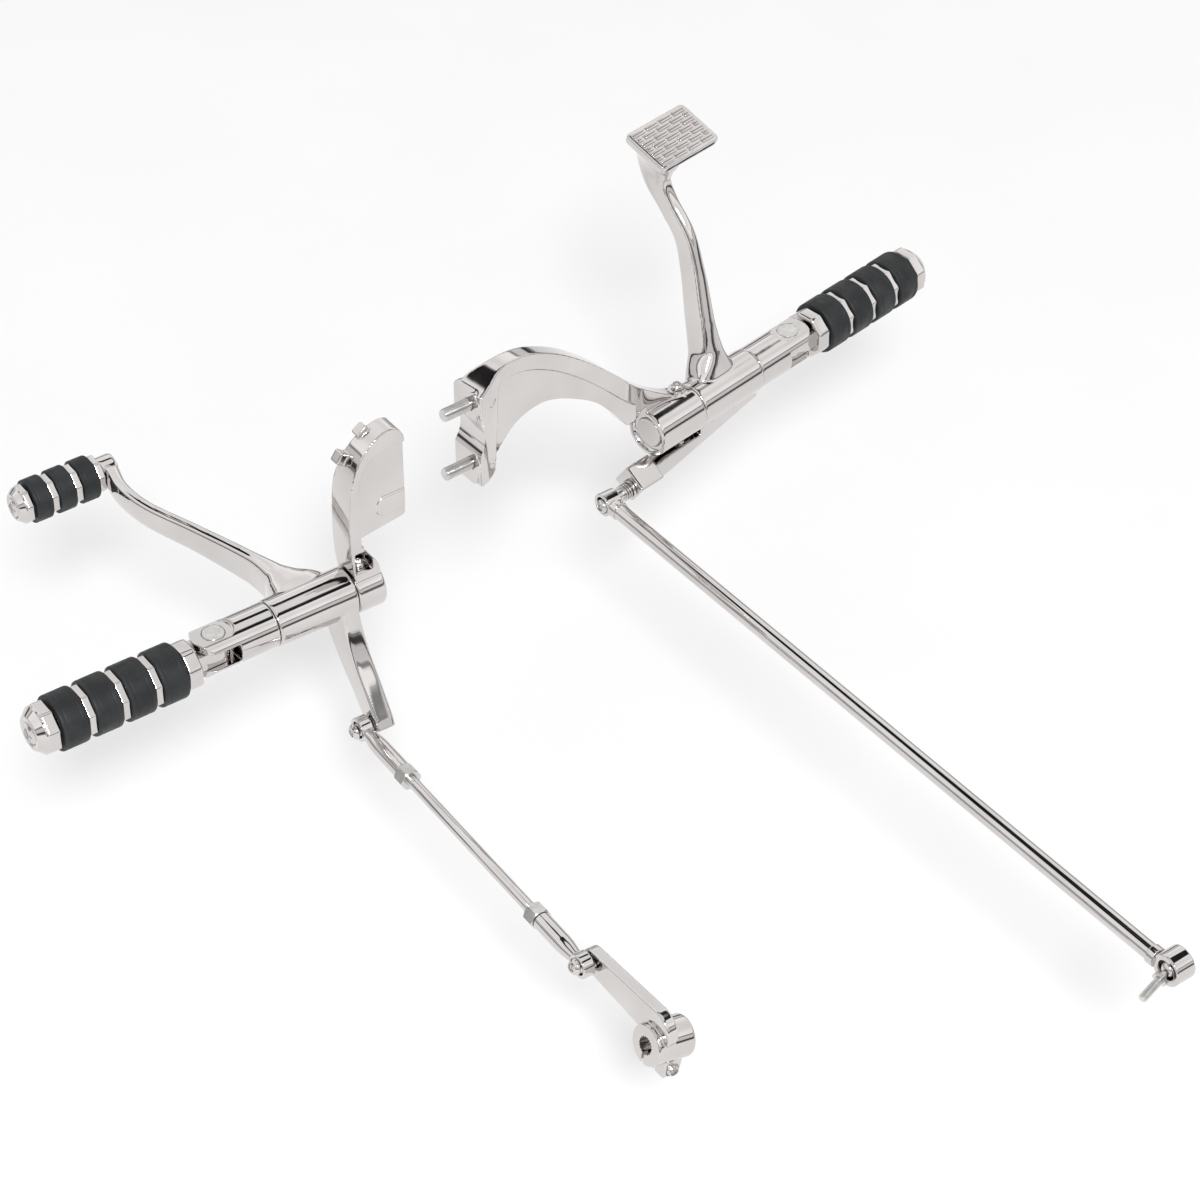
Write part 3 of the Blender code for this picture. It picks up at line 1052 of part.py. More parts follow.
def rear_stud(far):
    """Ball stud that the master cylinder's fork would take."""
    hang = empty("rear_stud_axis", far, HERE, (0, -REAR_DROOP, -BRAKE_YAW))
    radius = REAR_BALL_R
    top = pi / 2 - atan2(REAR_NECK_R, sqrt(radius ** 2 - REAR_NECK_R ** 2))
    steps = 8
    ball = [(radius * sin(top - (top + pi / 2) * i / steps), radius * cos(top - (top + pi / 2) * i / steps))
            for i in range(steps)]
    collar = REAR_NECK + REAR_COLLAR
    end = collar + REAR_STUD
    stations = [(end, 0), (end, REAR_STUD_R - 0.0008), (end - 0.0008, REAR_STUD_R)]
    stations += [(collar - GAP, REAR_STUD_R), (collar - GAP, REAR_NECK_R)] + ball + [(-radius, 0)]
    stud = turned("rear_ball_stud", stations, FEW)
    nut = hexagon("rear_collar", REAR_COLLAR_AF, REAR_COLLAR, 0.0004)
    place(nut, hang, (-REAR_NECK, 0, 0), (0, -pi / 2, 0))
    part(stud, "zinc", hang, HERE, (0, -pi / 2, 0))
    unite(stud, nut)


def toe_lock(lever):
    """Small screw under the tip of the lever that locks the toe bolt."""
    tx, ty, tz = TIP
    start = tz - TIP_R - TOE_LOCK_OUT
    length = tz - TOE_SHANK_R - 2 * GAP - start
    head = TOE_LOCK_OUT - 2 * GAP
    wide = TOE_LOCK_R * 1.5
    screw = turned("toe_lock_screw", [(length, 0), (length, TOE_LOCK_R), (head, TOE_LOCK_R), (head, wide),
                                      (2 * GAP, wide), (0, wide - 2 * GAP), (0, 0)], FEW)
    part(screw, "zinc", lever, ((TIP_FACE + TIP_BACK) / 2, ty, start))


left_bracket()
lock_screw("left_lock_screw", shift_side, LEFT_LOCK)
peg_mount("left_peg_mount", left_hub, LEFT_BORE - 2 * GAP)
bush("left_bush", left_hub)
foot_peg("left", left_peg, LEFT_PEG_DROP)
lever_axis = lever_casting()
toe_peg(lever_axis)
toe_lock(lever_axis)
upper_joint(lever_axis)
shifter_arm(shift_rod(lever_axis))
right_bracket()
lock_screw("right_lock_screw", brake_side, RIGHT_LOCK)
peg_mount("right_peg_mount", right_hub, RIGHT_BOSS - DISC_DEPTH * 0.5)
bush("right_bush", right_hub)
foot_peg("right", right_peg, RIGHT_PEG_DROP)
brake_rod(brake_pedal())

for piece in PARTS.objects:
    if piece.type != "MESH" or not piece.modifiers:
        continue
    for mod in piece.modifiers:
        if mod.type == "BOOLEAN":
            mod.use_self = piece.name in SELF_CROSSING
            mod.use_hole_tolerant = piece.name in HOLE_TOLERANT
    weld = piece.modifiers.new("Weld", "WELD")
    weld.merge_threshold = 0.000001
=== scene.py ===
"""Looks of the motorcycle forward controls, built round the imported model."""
from math import atan2, cos, hypot, pi, radians, sin, sqrt, tan

import bmesh
import bpy
from mathutils import Euler, Matrix, Vector


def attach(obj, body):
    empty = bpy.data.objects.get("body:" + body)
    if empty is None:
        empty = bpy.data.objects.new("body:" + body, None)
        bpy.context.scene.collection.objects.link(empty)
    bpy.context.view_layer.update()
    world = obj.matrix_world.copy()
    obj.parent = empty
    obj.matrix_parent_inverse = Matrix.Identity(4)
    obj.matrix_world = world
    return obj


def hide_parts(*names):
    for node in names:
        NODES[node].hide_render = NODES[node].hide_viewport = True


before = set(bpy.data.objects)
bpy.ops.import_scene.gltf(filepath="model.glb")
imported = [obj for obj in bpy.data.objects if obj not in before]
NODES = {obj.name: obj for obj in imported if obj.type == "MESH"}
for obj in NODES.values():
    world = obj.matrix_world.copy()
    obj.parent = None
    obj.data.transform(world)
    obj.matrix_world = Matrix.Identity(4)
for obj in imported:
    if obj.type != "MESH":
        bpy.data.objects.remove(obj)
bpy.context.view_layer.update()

GAP = 0.0003
PAIR = 0.0002

# Sizes repeated from the part's source, in metres
SHAFT_R = 0.0110
BOSS_R = 0.0175
HUB_R = 0.0172
HUB_END_R = 0.0165
HUB_LENGTH = 0.0597
HUB_BORE_R = 0.0130
HUB_DRILL = (-0.03, 0.09)
CLEVIS_R = 0.0159
PIN_AT = GAP + HUB_LENGTH + GAP + 0.0412
SHOULDER = GAP + HUB_LENGTH + GAP
EAR_TOP = 0.0128
PIN_R = 0.00475
PIN_HEAD_R = 0.0076
PIN_HEAD = 0.0017
SLOT = 0.0133
LEFT_SEAM = 0.0185
RIGHT_BOSS = 0.0430
RIM = 0.0230
END_X = -0.1690
LEFT_HOLES = (0.0630, 0.1020)
STUD_HEIGHTS = (0.0690, 0.1175)
STUD_DEEP = 0.0160
LEFT_LOCK = (-0.0105, -0.0030)
RIGHT_LOCK = (0.0340, 0.0040)
LOCK_TOP = 0.0195
LOCK_BOSS = (0.0062, 0.0098, LOCK_TOP)
LOCK_BORE = (0.0028, 0.0056, 0.0300)
LUG_R = 0.0075
LUG_HOLE = 0.0190
PEG_NECK = 0.0172
FLANGE = 0.0115
TONGUE_R = 0.0100
TONGUE = 0.0127
PEG_RING = 0.0200
PEG_PITCH = 0.0244
TOE_FLANGE = 0.0050
TOE_BORE_R = 0.0043
TOE_RING = 0.0132
TOE_PITCH = 0.0181
CLAMP = 0.0290
CLAMP_R = 0.01395
CLAMP_FACE = 0.0036
CLAMP_AT = (-0.0670, -0.0146)
PINCH_LUG = (0.0130, 0.0190, 0.0230)
PINCH_DEEP = 0.0021
PINCH_X = CLAMP_FACE + 0.0120 + PINCH_LUG[0] / 2
PINCH_Z = CLAMP_AT[1] - CLAMP_R - 0.0044 * 0.85
BALL_R = 0.0056
BALL_W = 0.0108
EYE_R = 0.0086
UPPER_SHANK = 0.0515
LOWER_SHANK = 0.0465
SHANK_GRIP = 0.0200
NUT = 0.0100
FAR_FACE = 0.00425


def at(parent, location, rotation=(0, 0, 0)):
    return parent @ Matrix.Translation(location) @ Euler(rotation).to_matrix().to_4x4()


SHIFT = Matrix.Translation((-0.0255, 0, -0.0830))
LEFT_HUB = at(SHIFT, (-LEFT_SEAM, 0, 0), (0, 0, pi))
LEFT_FOLD = at(LEFT_HUB, (PIN_AT, 0, 0))
LEFT_PEG = at(LEFT_FOLD, (0, 0, -0.0040))
TOE_PLACE = (-0.0964, 0.1920, 0.0100)
TOE = at(SHIFT, TOE_PLACE, (0, 0, pi))
ROD_PIVOT = (-0.0400, -0.0480, -0.0760)
UPPER_EYE = at(SHIFT, ROD_PIVOT)
ROD_SPAN = 0.2640
SHIFT_ROD = at(SHIFT, ROD_PIVOT, (0, 0, radians(-1.5)))
LOWER_EYE = at(SHIFT_ROD, (0, -ROD_SPAN, 0))
ARM = at(LOWER_EYE, (0, 0, 0), (0, radians(14), radians(1.5)))
BRAKE = at(SHIFT, (0.2421, 0.0229, 0), (0, 0, radians(10.5)))
RIGHT_HUB = at(BRAKE, (RIGHT_BOSS, 0, 0))
RIGHT_FOLD = at(RIGHT_HUB, (PIN_AT, 0, 0))
RIGHT_PEG = at(RIGHT_FOLD, (0, 0, -0.0005))
FRAME_END = at(BRAKE, (END_X, 0, 0), (0, 0, radians(-7.5)))
PAD_PLACE = (0.0865, 0.0610, 0.1740)
PAD = at(BRAKE, PAD_PLACE, (radians(18), 0, 0))
NEAR_EYE = (-0.0450, -0.0070, -0.0310)
CRANK_CENTRE = (-0.0125, -0.0055, -0.0285)
CRANK_BLOCK = (0.0225, 0.0200, 0.0190)
FRONT = at(BRAKE, NEAR_EYE)
BRAKE_SPAN = 0.5609
BRAKE_ROD = at(BRAKE, NEAR_EYE, (radians(0.4), 0, radians(-8.5)))
SOCKET = at(BRAKE_ROD, (0, -BRAKE_SPAN, 0))
REAR_STUD = at(SOCKET, (0, 0, 0), (0, radians(-16), radians(8.5)))

ALONG_Y = Matrix.Rotation(pi / 2, 4, "Z")
DOWN_Y = Matrix.Rotation(-pi / 2, 4, "Z")
UP_Z = Matrix.Rotation(-pi / 2, 4, "Y")
UPRIGHT = Matrix.Rotation(pi / 2, 4, "X")
FACING_X = Matrix.Rotation(pi / 2, 4, "Y")
ABOUT = Matrix.Rotation(pi, 4, "Z")


# Materials

def nodes_of(name, colour, roughness, metallic):
    mat = bpy.data.materials.new(name)
    mat.use_nodes = True
    tree = mat.node_tree
    shader = tree.nodes["Principled BSDF"]
    shader.inputs["Base Color"].default_value = (*colour, 1)
    shader.inputs["Roughness"].default_value = roughness
    shader.inputs["Metallic"].default_value = metallic
    return mat, tree, shader


def noise(tree, scale, detail=3.0, stretch=(1, 1, 1)):
    coord = tree.nodes.new("ShaderNodeTexCoord")
    mapping = tree.nodes.new("ShaderNodeMapping")
    mapping.inputs["Scale"].default_value = stretch
    tex = tree.nodes.new("ShaderNodeTexNoise")
    tex.inputs["Scale"].default_value = scale
    tex.inputs["Detail"].default_value = detail
    tree.links.new(coord.outputs["Object"], mapping.inputs["Vector"])
    tree.links.new(mapping.outputs["Vector"], tex.inputs["Vector"])
    return tex


def spread(tree, tex, low, high, first=0.3, last=0.7):
    ramp = tree.nodes.new("ShaderNodeMapRange")
    ramp.inputs["From Min"].default_value = first
    ramp.inputs["From Max"].default_value = last
    ramp.inputs["To Min"].default_value = low
    ramp.inputs["To Max"].default_value = high
    tree.links.new(tex.outputs["Fac"], ramp.inputs["Value"])
    return ramp.outputs["Result"]


def tint(tree, tex, dark, light, target, first=0.35, last=0.65):
    ramp = tree.nodes.new("ShaderNodeValToRGB")
    ramp.color_ramp.elements[0].position = first
    ramp.color_ramp.elements[0].color = (*dark, 1)
    ramp.color_ramp.elements[1].position = last
    ramp.color_ramp.elements[1].color = (*light, 1)
    tree.links.new(tex.outputs["Fac"], ramp.inputs["Fac"])
    tree.links.new(ramp.outputs["Color"], target)


def relief(tree, shader, tex, strength, distance):
    bump = tree.nodes.new("ShaderNodeBump")
    bump.inputs["Strength"].default_value = strength
    bump.inputs["Distance"].default_value = distance
    tree.links.new(tex.outputs["Fac"], bump.inputs["Height"])
    tree.links.new(bump.outputs["Normal"], shader.inputs["Normal"])
    return bump


def chrome(name="polished_chrome", wave=0.00012):
    """Hand-polished casting under chrome: slow waviness, faint haze and swirl marks."""
    mat, tree, shader = nodes_of(name, (0.62, 0.595, 0.585), 0.05, 1.0)
    haze = noise(tree, 38, 4)
    tree.links.new(spread(tree, haze, 0.025, 0.085), shader.inputs["Roughness"])
    tint(tree, noise(tree, 22, 2), (0.60, 0.575, 0.565), (0.655, 0.63, 0.62), shader.inputs["Base Color"])
    relief(tree, shader, noise(tree, 62, 1.5), 0.35, wave)
    return mat


def plated(name, dark, light, low, high, grain=900):
    mat, tree, shader = nodes_of(name, light, 0.3, 1.0)
    tint(tree, noise(tree, 160, 5), dark, light, shader.inputs["Base Color"])
    tree.links.new(spread(tree, noise(tree, 240, 4), low, high), shader.inputs["Roughness"])
    relief(tree, shader, noise(tree, grain, 2), 0.25, 0.00003)
    return mat


def moulded_rubber():
    mat, tree, shader = nodes_of("moulded_rubber", (0.012, 0.014, 0.015), 0.55, 0.0)
    tint(tree, noise(tree, 70, 6), (0.008, 0.010, 0.011), (0.018, 0.021, 0.022), shader.inputs["Base Color"])
    tree.links.new(spread(tree, noise(tree, 130, 3), 0.42, 0.68), shader.inputs["Roughness"])
    relief(tree, shader, noise(tree, 1500, 3), 0.30, 0.00006)
    shader.inputs["Specular IOR Level"].default_value = 0.42
    return mat


FINISH = {
    "chrome": chrome(),
    "zinc": plated("bright_zinc", (0.56, 0.55, 0.54), (0.66, 0.65, 0.63), 0.14, 0.26),
    "steel": plated("ground_steel", (0.46, 0.46, 0.47), (0.62, 0.62, 0.63), 0.14, 0.28),
    "bronze": plated("sintered_bronze", (0.42, 0.27, 0.13), (0.62, 0.43, 0.24), 0.28, 0.46),
    "rubber": moulded_rubber(),
}


# Shapes

def soften(points, radius, steps=4, closed=False):
    """Round the corners of a line of 2D points."""
    out = []
    count = len(points)
    for i, point in enumerate(points):
        if not closed and i in (0, count - 1):
            out.append(tuple(point))
            continue
        here = Vector(point)
        back = Vector(points[i - 1]) - here
        ahead = Vector(points[(i + 1) % count]) - here
        turn = back.angle(ahead, pi)
        if turn > radians(160):
            out.append(tuple(point))
            continue
        reach = min(radius / tan(turn / 2), back.length * 0.46, ahead.length * 0.46)
        start = here + back.normalized() * reach
        stop = here + ahead.normalized() * reach
        for k in range(steps + 1):
            t = k / steps
            spot = start.lerp(here, t).lerp(here.lerp(stop, t), t)
            out.append((spot.x, spot.y))
    return out


def through(points, steps=8):
    """Smooth open curve through the points (centripetal Catmull-Rom)."""
    pts = [Vector(p) for p in points]
    pts = [2 * pts[0] - pts[1]] + pts + [2 * pts[-1] - pts[-2]]
    out = []
    for a, b, c, d in zip(pts, pts[1:], pts[2:], pts[3:]):
        t1 = sqrt((b - a).length)
        t2 = t1 + sqrt((c - b).length)
        t3 = t2 + sqrt((d - c).length)
        for i in range(steps):
            t = t1 + (t2 - t1) * i / steps
            ab = a.lerp(b, t / t1)
            bc = b.lerp(c, (t - t1) / (t2 - t1))
            cd = c.lerp(d, (t - t2) / (t3 - t2))
            abc = ab.lerp(bc, t / t2)
            bcd = bc.lerp(cd, (t - t1) / (t3 - t1))
            out.append(abc.lerp(bcd, (t - t1) / (t2 - t1)))
    out.append(pts[-2])
    return out


def flat(points, steps=8):
    return [(p.x, p.y) for p in through(points, steps)]


def arc(cx, cy, radius, first, last, steps):
    return [(cx + radius * cos(first + (last - first) * i / steps),
             cy + radius * sin(first + (last - first) * i / steps)) for i in range(steps + 1)]


def lathe(profile, sides=72, start=0.0):
    """Turned solid about X from (x, radius) pairs."""
    bm = bmesh.new()
    closed = all(r > 0 for _, r in profile)
    turns = [(cos(start + 2 * pi * k / sides), sin(start + 2 * pi * k / sides)) for k in range(sides)]
    rows = []
    for x, r in profile:
        spots = [(x, r * c, r * s) for c, s in turns] if r > 0 else [(x, 0, 0)]
        rows.append([bm.verts.new(p) for p in spots])
    pairs = list(zip(rows, rows[1:]))
    if closed:
        pairs.append((rows[-1], rows[0]))
    for low, high in pairs:
        for k in range(sides):
            n = (k + 1) % sides
            if len(low) == 1 and len(high) == 1:
                continue
            if len(low) == 1:
                bm.faces.new((low[0], high[n], high[k]))
            elif len(high) == 1:
                bm.faces.new((low[k], low[n], high[0]))
            else:
                bm.faces.new((low[k], low[n], high[n], high[k]))
    bmesh.ops.recalc_face_normals(bm, faces=bm.faces)
    return bm


def bar(radius, start, stop, edge=0.0006, sides=72):
    line = [(stop, 0), (stop, radius), (start, radius), (start, 0)]
    return lathe(soften(line, edge, 3) if edge else line, sides)


def round_edges(bm, width, segments=3, angle=35):
    sharp = [e for e in bm.edges if len(e.link_faces) == 2 and e.calc_face_angle(0) > radians(angle)]
    bmesh.ops.bevel(bm, geom=sharp, offset=width, segments=segments, profile=0.5, affect="EDGES",
                    clamp_overlap=True)
    return bm


def prism(outline, thickness, edge=0.0, segments=3):
    """Flat outline in XY, extruded evenly to both sides along Z."""
    bm = bmesh.new()
    low = [bm.verts.new((x, y, -thickness / 2)) for x, y in outline]
    high = [bm.verts.new((x, y, thickness / 2)) for x, y in outline]
    bm.faces.new(low[::-1])
    bm.faces.new(high)
    for i in range(len(outline)):
        n = (i + 1) % len(outline)
        bm.faces.new((low[i], low[n], high[n], high[i]))
    bmesh.ops.recalc_face_normals(bm, faces=bm.faces)
    return round_edges(bm, edge, segments) if edge else bm


def block(size, edge=0.0, segments=3):
    bm = bmesh.new()
    bmesh.ops.create_cube(bm, size=1.0)
    bmesh.ops.scale(bm, vec=size, verts=bm.verts)
    return round_edges(bm, edge, segments) if edge else bm


def loft(stations, up, sides=40, power=3.0, steps=9):
    """Loft of superellipses.  Stations are (point, half width, half height)."""
    path = through([p for p, _, _ in stations], steps)
    sizes = through([(w, h) for _, w, h in stations], steps)
    up = Vector(up)
    bm = bmesh.new()
    rings = []
    for i, centre in enumerate(path):
        ahead = (path[min(i + 1, len(path) - 1)] - path[max(i - 1, 0)]).normalized()
        side = ahead.cross(up).normalized()
        lift = side.cross(ahead)
        w, h = sizes[i]
        ring = []
        for k in range(sides):
            a = 2 * pi * (k + 0.5) / sides
            u = abs(cos(a)) ** (2 / power) * (1 if cos(a) > 0 else -1)
            v = abs(sin(a)) ** (2 / power) * (1 if sin(a) > 0 else -1)
            ring.append(bm.verts.new(centre + side * (w * u) + lift * (h * v)))
        rings.append(ring)
    for low, high in zip(rings, rings[1:]):
        for k in range(sides):
            n = (k + 1) % sides
            bm.faces.new((low[k], low[n], high[n], high[k]))
    bm.faces.new(rings[0])
    bm.faces.new(rings[-1])
    bmesh.ops.recalc_face_normals(bm, faces=bm.faces)
    return bm


def eight(across, start, stop, edge):
    """Eight-sided bar along X with a flat on top and softened edges."""
    bm = lathe([(stop, 0), (stop, across / 2 / cos(pi / 8)), (start, across / 2 / cos(pi / 8)), (start, 0)],
               8, pi / 8)
    return round_edges(bm, edge, 3, 30)


def hexagon(across, start, stop, edge=0.0):
    corner = across / 2 / cos(pi / 6)
    bm = lathe([(stop, 0), (stop, corner), (start, corner), (start, 0)], 6, 0.0)
    return round_edges(bm, edge, 2, 30) if edge else bm


def screw_thread(radius, pitch, start, stop, depth=0.0004, sides=40):
    """Threaded bar along X, its crest at the radius."""
    bm = bmesh.new()
    lower = radius - depth * 2
    length = stop - start
    per_turn = 6
    rows = int(length / pitch * per_turn)
    rings = []
    for i in range(rows + 1):
        x = start + length * i / rows
        ring = []
        for k in range(sides):
            a = 2 * pi * k / sides
            phase = ((x - start) / pitch - k / sides) % 1.0
            crest = 1 - abs(2 * phase - 1)
            fade = min(1.0, (stop - x) / (pitch * 1.2) + 0.15, (x - start) / pitch + 0.15)
            r = lower + (radius - lower) * min(1.0, crest * 1.25) * min(1.0, max(fade, 0.0))
            ring.append(bm.verts.new((x, r * cos(a), r * sin(a))))
        rings.append(ring)
    for low, high in zip(rings, rings[1:]):
        for k in range(sides):
            n = (k + 1) % sides
            bm.faces.new((low[k], low[n], high[n], high[k]))
    bm.faces.new(rings[0])
    bm.faces.new(rings[-1])
    bmesh.ops.recalc_face_normals(bm, faces=bm.faces)
    return bm


def moved(bm, matrix, *steps):
    for step in steps:
        matrix = matrix @ step
    bmesh.ops.transform(bm, matrix=matrix, verts=bm.verts)
    return bm


def shift(x, y, z):
    return Matrix.Translation((x, y, z))


def gather(name, shells):
    total = bmesh.new()
    for shell in shells:
        mesh = bpy.data.meshes.new("shell")
        shell.to_mesh(mesh)
        shell.free()
        total.from_mesh(mesh)
        bpy.data.meshes.remove(mesh)
    mesh = bpy.data.meshes.new(name)
    total.to_mesh(mesh)
    total.free()
    obj = bpy.data.objects.new(name, mesh)
    bpy.context.scene.collection.objects.link(obj)
    return obj


def apply(obj):
    """Put the evaluated mesh in place of the object's own."""
    bpy.context.view_layer.update()
    graph = bpy.context.evaluated_depsgraph_get()
    mesh = bpy.data.meshes.new_from_object(obj.evaluated_get(graph))
    obj.modifiers.clear()
    old = obj.data
    obj.data = mesh
    bpy.data.meshes.remove(old)


def settle(obj):
    """Apply an object's modifiers, then shade it so that flat faces stay flat."""
    apply(obj)
    obj.data.shade_smooth()
    obj.data.set_sharp_from_angle(angle=radians(30))
    even = obj.modifiers.new("Even", "WEIGHTED_NORMAL")
    even.keep_sharp = True
    even.weight = 90
    apply(obj)
    return obj


def subtract(obj, cutters):
    tools = []
    for i, shell in enumerate(cutters):
        tool = gather(obj.name + "_cut_" + str(i), [shell])
        mod = obj.modifiers.new("Cut", "BOOLEAN")
        mod.operation = "DIFFERENCE"
        mod.solver = "MANIFOLD"
        mod.object = tool
        tools.append(tool)
    settle(obj)
    for tool in tools:
        bpy.data.objects.remove(tool, do_unlink=True)
    return obj


def dress(obj, body, finish, *replaced):
    obj.data.materials.clear()
    obj.data.materials.append(FINISH[finish])
    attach(obj, body)
    if replaced:
        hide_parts(*replaced)
    return obj


def cast(name, shells, cuts=(), voxel=0.0006, passes=8, keep=0.5):
    """Weld overlapping shells into one softly filleted casting, then machine it."""
    obj = gather(name, shells)
    weld = obj.modifiers.new("Weld", "REMESH")
    weld.mode = "VOXEL"
    weld.voxel_size = voxel
    soft = obj.modifiers.new("Soft", "SMOOTH")
    soft.factor = 0.5
    soft.iterations = passes
    thin = obj.modifiers.new("Thin", "DECIMATE")
    thin.ratio = keep
    settle(obj)
    if cuts:
        subtract(obj, cuts)
    return obj


def carved(shell, cutters):
    """One closed shell with cutters taken out of it."""
    obj = subtract(gather("carved", [shell]), cutters)
    bm = bmesh.new()
    bm.from_mesh(obj.data)
    bpy.data.objects.remove(obj, do_unlink=True)
    return bm


def machined(name, shell, cutters, others=()):
    """Closed shell with other shells welded on and cutters taken out, edges left crisp."""
    obj = gather(name, [shell])
    tools = []
    for i, other in enumerate(others):
        tool = gather(name + "_add_" + str(i), [other])
        mod = obj.modifiers.new("Add", "BOOLEAN")
        mod.operation = "UNION"
        mod.solver = "MANIFOLD"
        mod.object = tool
        tools.append(tool)
    settle(obj)
    for tool in tools:
        bpy.data.objects.remove(tool, do_unlink=True)
    return subtract(obj, cutters) if cutters else obj


def plain(name, *shells):
    return settle(gather(name, shells))


def screw(name, matrix, radius, height, shank_r, shank, body, finish, key=0.55, crown=0.35):
    """Domed socket screw; the head sits on 0 and rises along +X, the shank runs down from it."""
    line = [(height, 0), (height, radius * crown), (height * 0.86, radius * 0.66),
            (height * 0.55, radius * 0.90), (height * 0.25, radius), (0, radius), (0, shank_r * 0.9),
            (-shank, shank_r * 0.9), (-shank, 0)]
    head = lathe(soften(line, radius * 0.22, 4), 48)
    socket = hexagon(radius * key * 2 * 0.866, height * 0.4, height * 2)
    obj = machined(name, moved(head, matrix), [moved(socket, matrix)])
    return dress(obj, body, finish, name.replace("_look", ""))


# Castings

def left_bracket():
    mount_x, low, high = 0.0255, 0.0500, 0.1150
    web, crest = 0.0130, 0.0150
    outer = flat([(-0.0165, 0.0060), (-0.0192, 0.0250), (-0.0202, 0.0450), (-0.0200, 0.0660),
                  (-0.0180, 0.0860), (-0.0135, 0.1000), (-0.0060, 0.1115), (0.0040, 0.1195),
                  (0.0140, 0.1228), (0.0215, 0.1212), (mount_x, high)])
    inner = flat([(-0.0100, 0.0435), (-0.0100, 0.0400), (-0.0080, 0.0330), (-0.0020, 0.0265),
                  (0.0010, 0.0200), (0.0015, 0.0120)])
    outline = outer + [(mount_x, low), (mount_x - 0.0015, low - 0.0014)] + inner + [(0.0015, 0), (-0.0165, 0)]
    body = moved(prism(outline, RIM, 0.0026), SHIFT, UPRIGHT)
    edge = flat([(-0.0118, 0.0860), (-0.0090, 0.0960), (-0.0030, 0.1040), (0.0060, 0.1085),
                 (0.0160, 0.1095), (2 * mount_x, 0.1100)])
    pocket = [(-0.0118, 0.0400)] + edge + [(2 * mount_x, 0.0400)]
    low_z, rise = 0.0860, 0.0368
    taper = atan2((RIM - crest) / 2, rise)
    lock_x, lock_y = LEFT_LOCK
    notch_low, notch_top, notch_r = LOCK_TOP, 0.0365, 0.0066
    cuts = [moved(bar(notch_r, notch_low, notch_top, 0), SHIFT, shift(lock_x, lock_y, 0), UP_Z),
            moved(block((2 * notch_r, RIM, notch_top - notch_low)), SHIFT,
                  shift(lock_x, lock_y - RIM / 2, (notch_top + notch_low) / 2))]
    for way in (1, -1):
        cuts.append(moved(prism(pocket, RIM), SHIFT, shift(0, way * (web + RIM) / 2, 0), UPRIGHT))
        size = 4 * rise
        centre = shift(0, way * (RIM / 2 + RIM / 2 * cos(taper)) - size / 2 * sin(way * taper),
                       low_z + size / 2 * cos(taper) + RIM / 2 * sin(taper))
        cuts.append(moved(block((size, RIM, size)), SHIFT, centre,
                          Matrix.Rotation(way * taper, 4, "X")))
    body = carved(body, cuts)
    span = LEFT_SEAM + 0.0030
    boss = lathe(soften([(span, 0), (span, BOSS_R), (0, BOSS_R), (0, 0)], 0.0026), 96)
    lug_x, lug_z = mount_x - LUG_HOLE + LUG_R * 0.5, LEFT_HOLES[0]
    lug_line = [(mount_x - GAP, lug_z - LUG_R), (mount_x - GAP, lug_z + LUG_R)]
    lug = prism(lug_line + arc(lug_x, lug_z, LUG_R, pi / 2, 3 * pi / 2, 24), 0.0154, 0.0006)
    shells = [body, moved(boss, SHIFT, shift(-LEFT_SEAM, 0, 0)), moved(lug, SHIFT, UPRIGHT),
              moved(bar(*LOCK_BOSS, 0.0005, 48), SHIFT, shift(lock_x, lock_y, 0), UP_Z)]
    for x, z, tilt in ((-0.0118, 0.1030, 55), (0.0045, 0.1160, 35)):
        ear = block((0.0090, 0.0080, 0.0130), 0.0010)
        shells.append(moved(ear, SHIFT, shift(x, crest / 2 - 0.0005, z),
                            Matrix.Rotation(radians(-tilt), 4, "Y")))
    holes = [moved(bar(SHAFT_R + GAP, -LEFT_SEAM - BOSS_R, -0.0015, 0, 96), SHIFT),
             moved(bar(*LOCK_BORE, 0, 32), SHIFT, shift(lock_x, lock_y, 0), UP_Z)]
    for z in LEFT_HOLES:
        drill = bar(0.0037, mount_x - LUG_HOLE, mount_x + LUG_HOLE, 0, 40)
        holes.append(moved(drill, SHIFT, shift(0, 0, z)))
    obj = cast("left_bracket_look", shells, holes, 0.0005, 7, 0.5)
    dress(obj, "frame_side", "chrome", "left_bracket")


